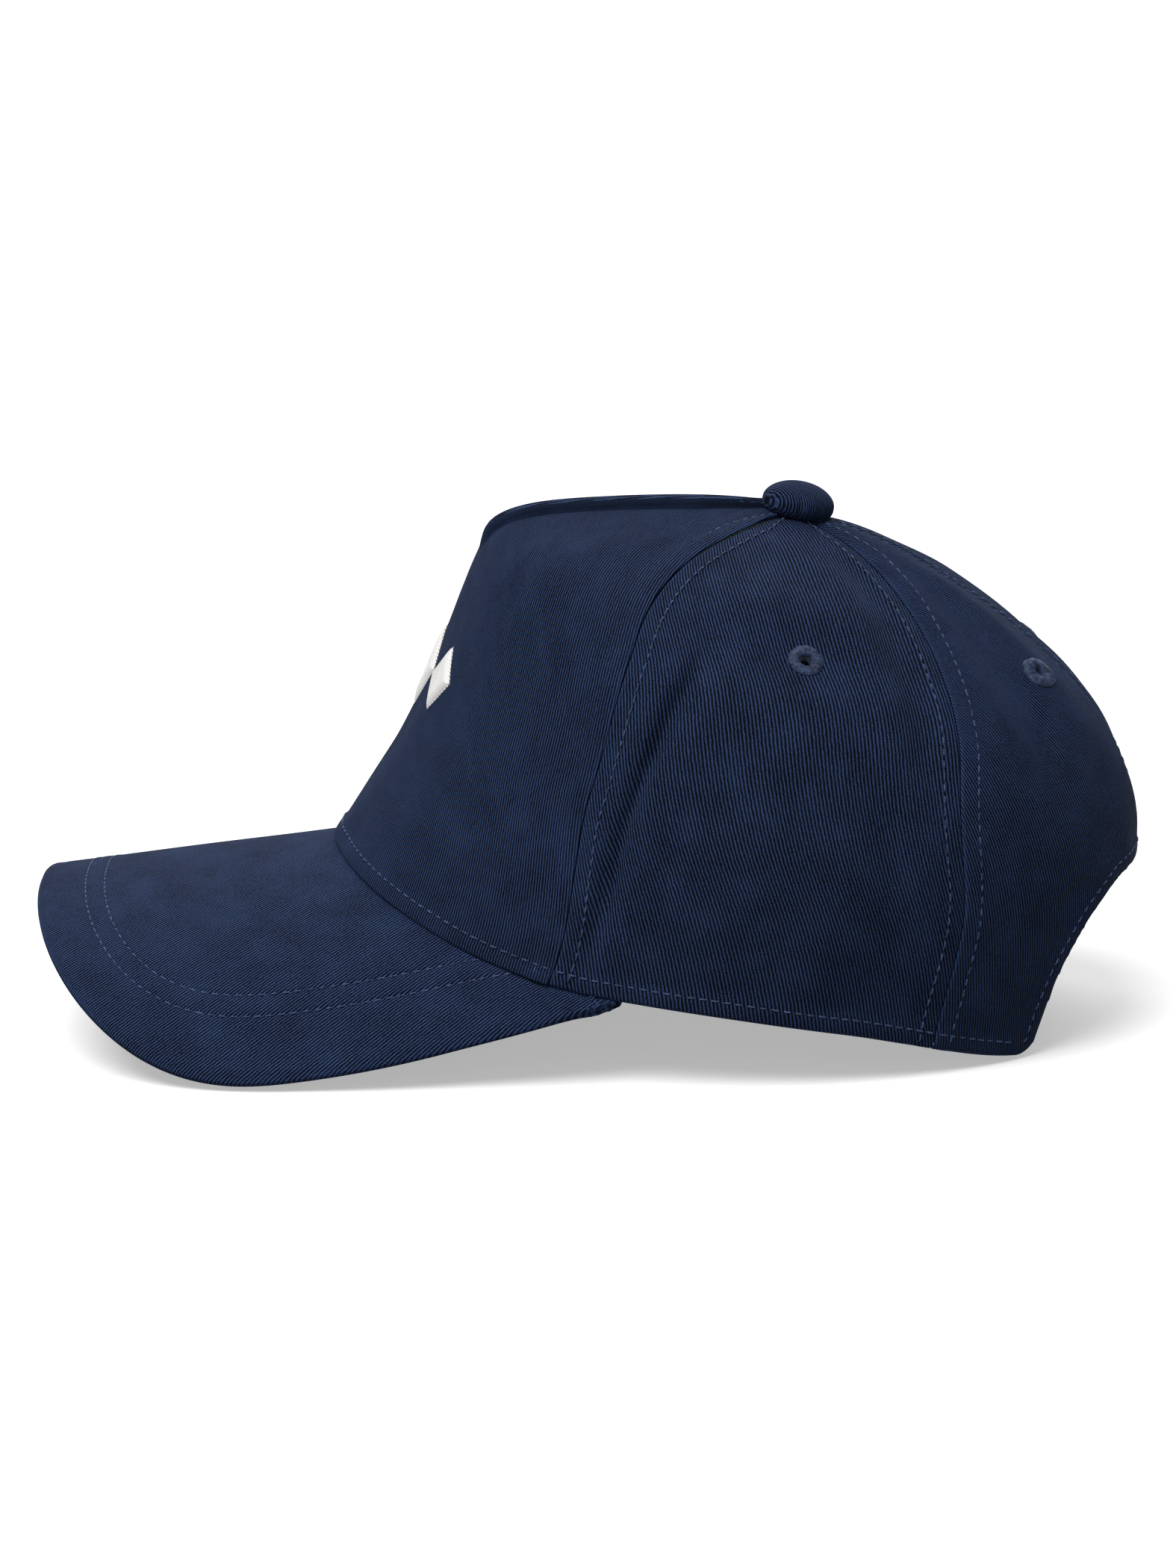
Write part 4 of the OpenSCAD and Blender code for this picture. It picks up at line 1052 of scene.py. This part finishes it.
def band_piece(name, line_at, zs, thick, mat, node):
    """A sewn band whose centre line at height z is line_at(z)."""
    lines = np.stack([resample(line_at(z), 220) for z in zs], 0)
    d = unit(np.gradient(lines, axis=1))
    nrm = np.stack([-d[..., 1], d[..., 0]], -1)
    h = np.asarray(zs) - zs[0]
    rim = np.minimum(h, h[-1] - h)[:, None] + 0 * lines[..., 0]
    puff = thick / 2 * np.sqrt(np.clip(rim / 0.5, 0.02, 1)) - 0.14 * bell(rim - 2.4, 0.4)
    s = np.concatenate([np.zeros((len(zs), 1)),
                        np.linalg.norm(np.diff(lines, axis=1), axis=2).cumsum(1)], 1)
    zz = np.asarray(zs)[:, None] + 0 * rim
    out = np.concatenate([lines + nrm * puff[..., None], zz[..., None]], -1)
    inn = np.concatenate([lines - nrm * puff[..., None], zz[..., None]], -1)
    n, c = rim.shape
    f = grid_faces(n, c)
    m = n * c
    edge = np.concatenate([np.arange(c), np.arange(1, n) * c + c - 1,
                           (n - 1) * c + np.arange(c - 2, -1, -1), np.arange(n - 2, 0, -1) * c])
    nxt = np.roll(edge, -1)
    faces = np.concatenate([f, f[:, ::-1] + m, np.stack([edge, edge + m, nxt + m, nxt], -1)])
    cut = np.stack([s, h[:, None] + 0 * s, rim], -1).reshape(-1, 3)
    verts = np.concatenate([seat(out).reshape(-1, 3), seat(inn).reshape(-1, 3)])
    obj = make(name, verts, faces, [mat], cut=np.concatenate([cut, cut]))
    for k, q in enumerate((2.4, h[-1] - 2.4)):
        i = int(np.abs(h - q).argmin())
        side = seat_dir(np.concatenate([nrm[i], np.zeros((c, 1))], -1))
        sew_in.row(seat(out[i]), side, seed=300 + k)
        sew_in.row(seat(inn[i]), -side, seed=310 + k)
    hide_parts(node)
    mesh_area = area_of(np.concatenate([out, inn]), f)
    return obj, mesh_area, (float(s[:, -1].max()), float(h[-1]))


def strap_line(z):
    p = crown_plain(np.array(CORNER - 1.5), np.array(z), S_O)
    a = CORNER - 11 + 9.5 * np.arange(5) / 4
    first = crown_plain(a, np.full(5, z), S_O)
    f = np.arange(1, 10) / 9
    second = np.stack([p[0] + (BX - p[0]) * np.sin(f * math.pi / 2), p[1] + (8 - p[1]) * f], -1)
    return np.concatenate([first, second, [[BX, 19], [BX, 30]]])


def band_z(lo, hi):
    """Heights of a band's rows, closer towards its two edges and stitch rows."""
    near = np.array([0, 0.08, 0.2, 0.4, 0.8, 1.4, 1.9, 2.4, 2.9])
    return np.concatenate([lo + near, np.linspace(lo + 3.6, hi - 3.6, 12), hi - near[::-1]])


strap = band_piece("closure_strap_cloth", strap_line, band_z(STRAP_Z, STRAP_Z + STRAP_H),
                   STRAP_T, STRAP, "closure_strap")
LX = BX - STRAP_T / 2 - 0.5 - 0.7 + 0.35


def loop_line(z):
    a = CORNER - 11 + 9.5 * np.arange(5) / 4
    p = crown_plain(a, np.full(5, z), -1.2 - LOOP_T / 2) * np.array([1, -1])
    ang = np.radians(np.linspace(20, -250, 30))
    ring = np.stack([LX + 1.45 * np.cos(ang), 33 + 1.45 * np.sin(ang)], -1)
    return np.concatenate([p, [[LX + 1.5, 38], [LX + 1.5, 35.5]], ring])


loop = band_piece("buckle_loop_cloth", loop_line, band_z(STRAP_Z + 1, STRAP_Z + STRAP_H - 1),
                  LOOP_T, STRAP, "buckle_loop")
sew_in.build("inside_stitching", THREAD)

# ---- CAD nodes that stay
def board_plastic():
    """Pale moulded sheet with a fine grain."""
    m = Nodes("visor_board_plastic")
    pos = m.add("TexCoord", out=3)
    grain = m.add("TexNoise", {"Vector": pos, "Scale": 900.0, "Detail": 3.0})
    return m.set(Base_Color=m.mix(grain, srgb(214, 214, 208), srgb(232, 232, 226)),
                 Roughness=0.5,
                 Normal=m.add("Bump", {"Strength": 0.2, "Distance": 0.0001, "Height": grain}))


for node, mat in [("visor_board", board_plastic())] + [(name, STEEL) for name in (
        "button_shell", "button_shank", "button_washer", "buckle_plate", "buckle_pin",
        "buckle_lever")]:
    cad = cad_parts[node]
    if not cad.material_slots:
        cad.data.materials.append(mat)
    for ms in cad.material_slots:
        ms.material = mat


# ---- floor, light, camera
floor_mesh = bpy.data.meshes.new("floor")
floor_mesh.from_pydata([(-30, -30, 0), (30, -30, 0), (30, 30, 0), (-30, 30, 0)], [], [(0, 1, 2, 3)])
floor = bpy.data.objects.new("floor", floor_mesh)
bpy.context.scene.collection.objects.link(floor)
pale = Nodes("pale_floor")
pale.set(Base_Color=(0.6, 0.6, 0.6, 1), Roughness=0.9, Specular_IOR_Level=0.1,
         Emission_Color=(1, 1, 1, 1), Emission_Strength=0.42)
floor_mesh.materials.append(pale.mat)
floor.location.z = min(0.0, CAD_BOX[0][2]) - 0.0002
floor.visible_diffuse = False

for label, power, spread, way in (("key", 3.35, 38, (0.33, 0.54, -1.0)),
                                  ("fill", 1.9, 60, (0.05, -0.8, -0.75)),
                                  ("front", 0.6, 60, (0.15, 1.0, -0.1))):
    sun = bpy.data.lights.new(label, "SUN")
    sun.energy, sun.angle = power, math.radians(spread)
    lamp = bpy.data.objects.new(label, sun)
    lamp.rotation_euler = Vector(way).to_track_quat("-Z", "Y").to_euler()
    bpy.context.scene.collection.objects.link(lamp)
world = bpy.data.worlds.new("studio")
world.use_nodes = True
bg = world.node_tree.nodes["Background"]
bg.inputs["Color"].default_value = (1, 1, 1, 1)
bg.inputs["Strength"].default_value = 0.19
bpy.context.scene.world = world
bpy.context.scene.view_settings.view_transform = "Standard"

ELEV, DIST = math.radians(11.04), 1.5
cam_data = bpy.data.cameras.new("camera")
cam = bpy.data.objects.new("camera", cam_data)
bpy.context.scene.collection.objects.link(cam)
cam.location = (0.0, -DIST * math.cos(ELEV), 0.07 + DIST * math.sin(ELEV))
cam.rotation_euler = (math.pi / 2 - ELEV, 0, 0)
cam_data.sensor_width = 36.0
cam_data.sensor_fit = "AUTO"
cam_data.lens = 132.9
cam_data.shift_x, cam_data.shift_y = 0.0014, -0.0226
cam_data.clip_end = 50
bpy.context.scene.camera = cam
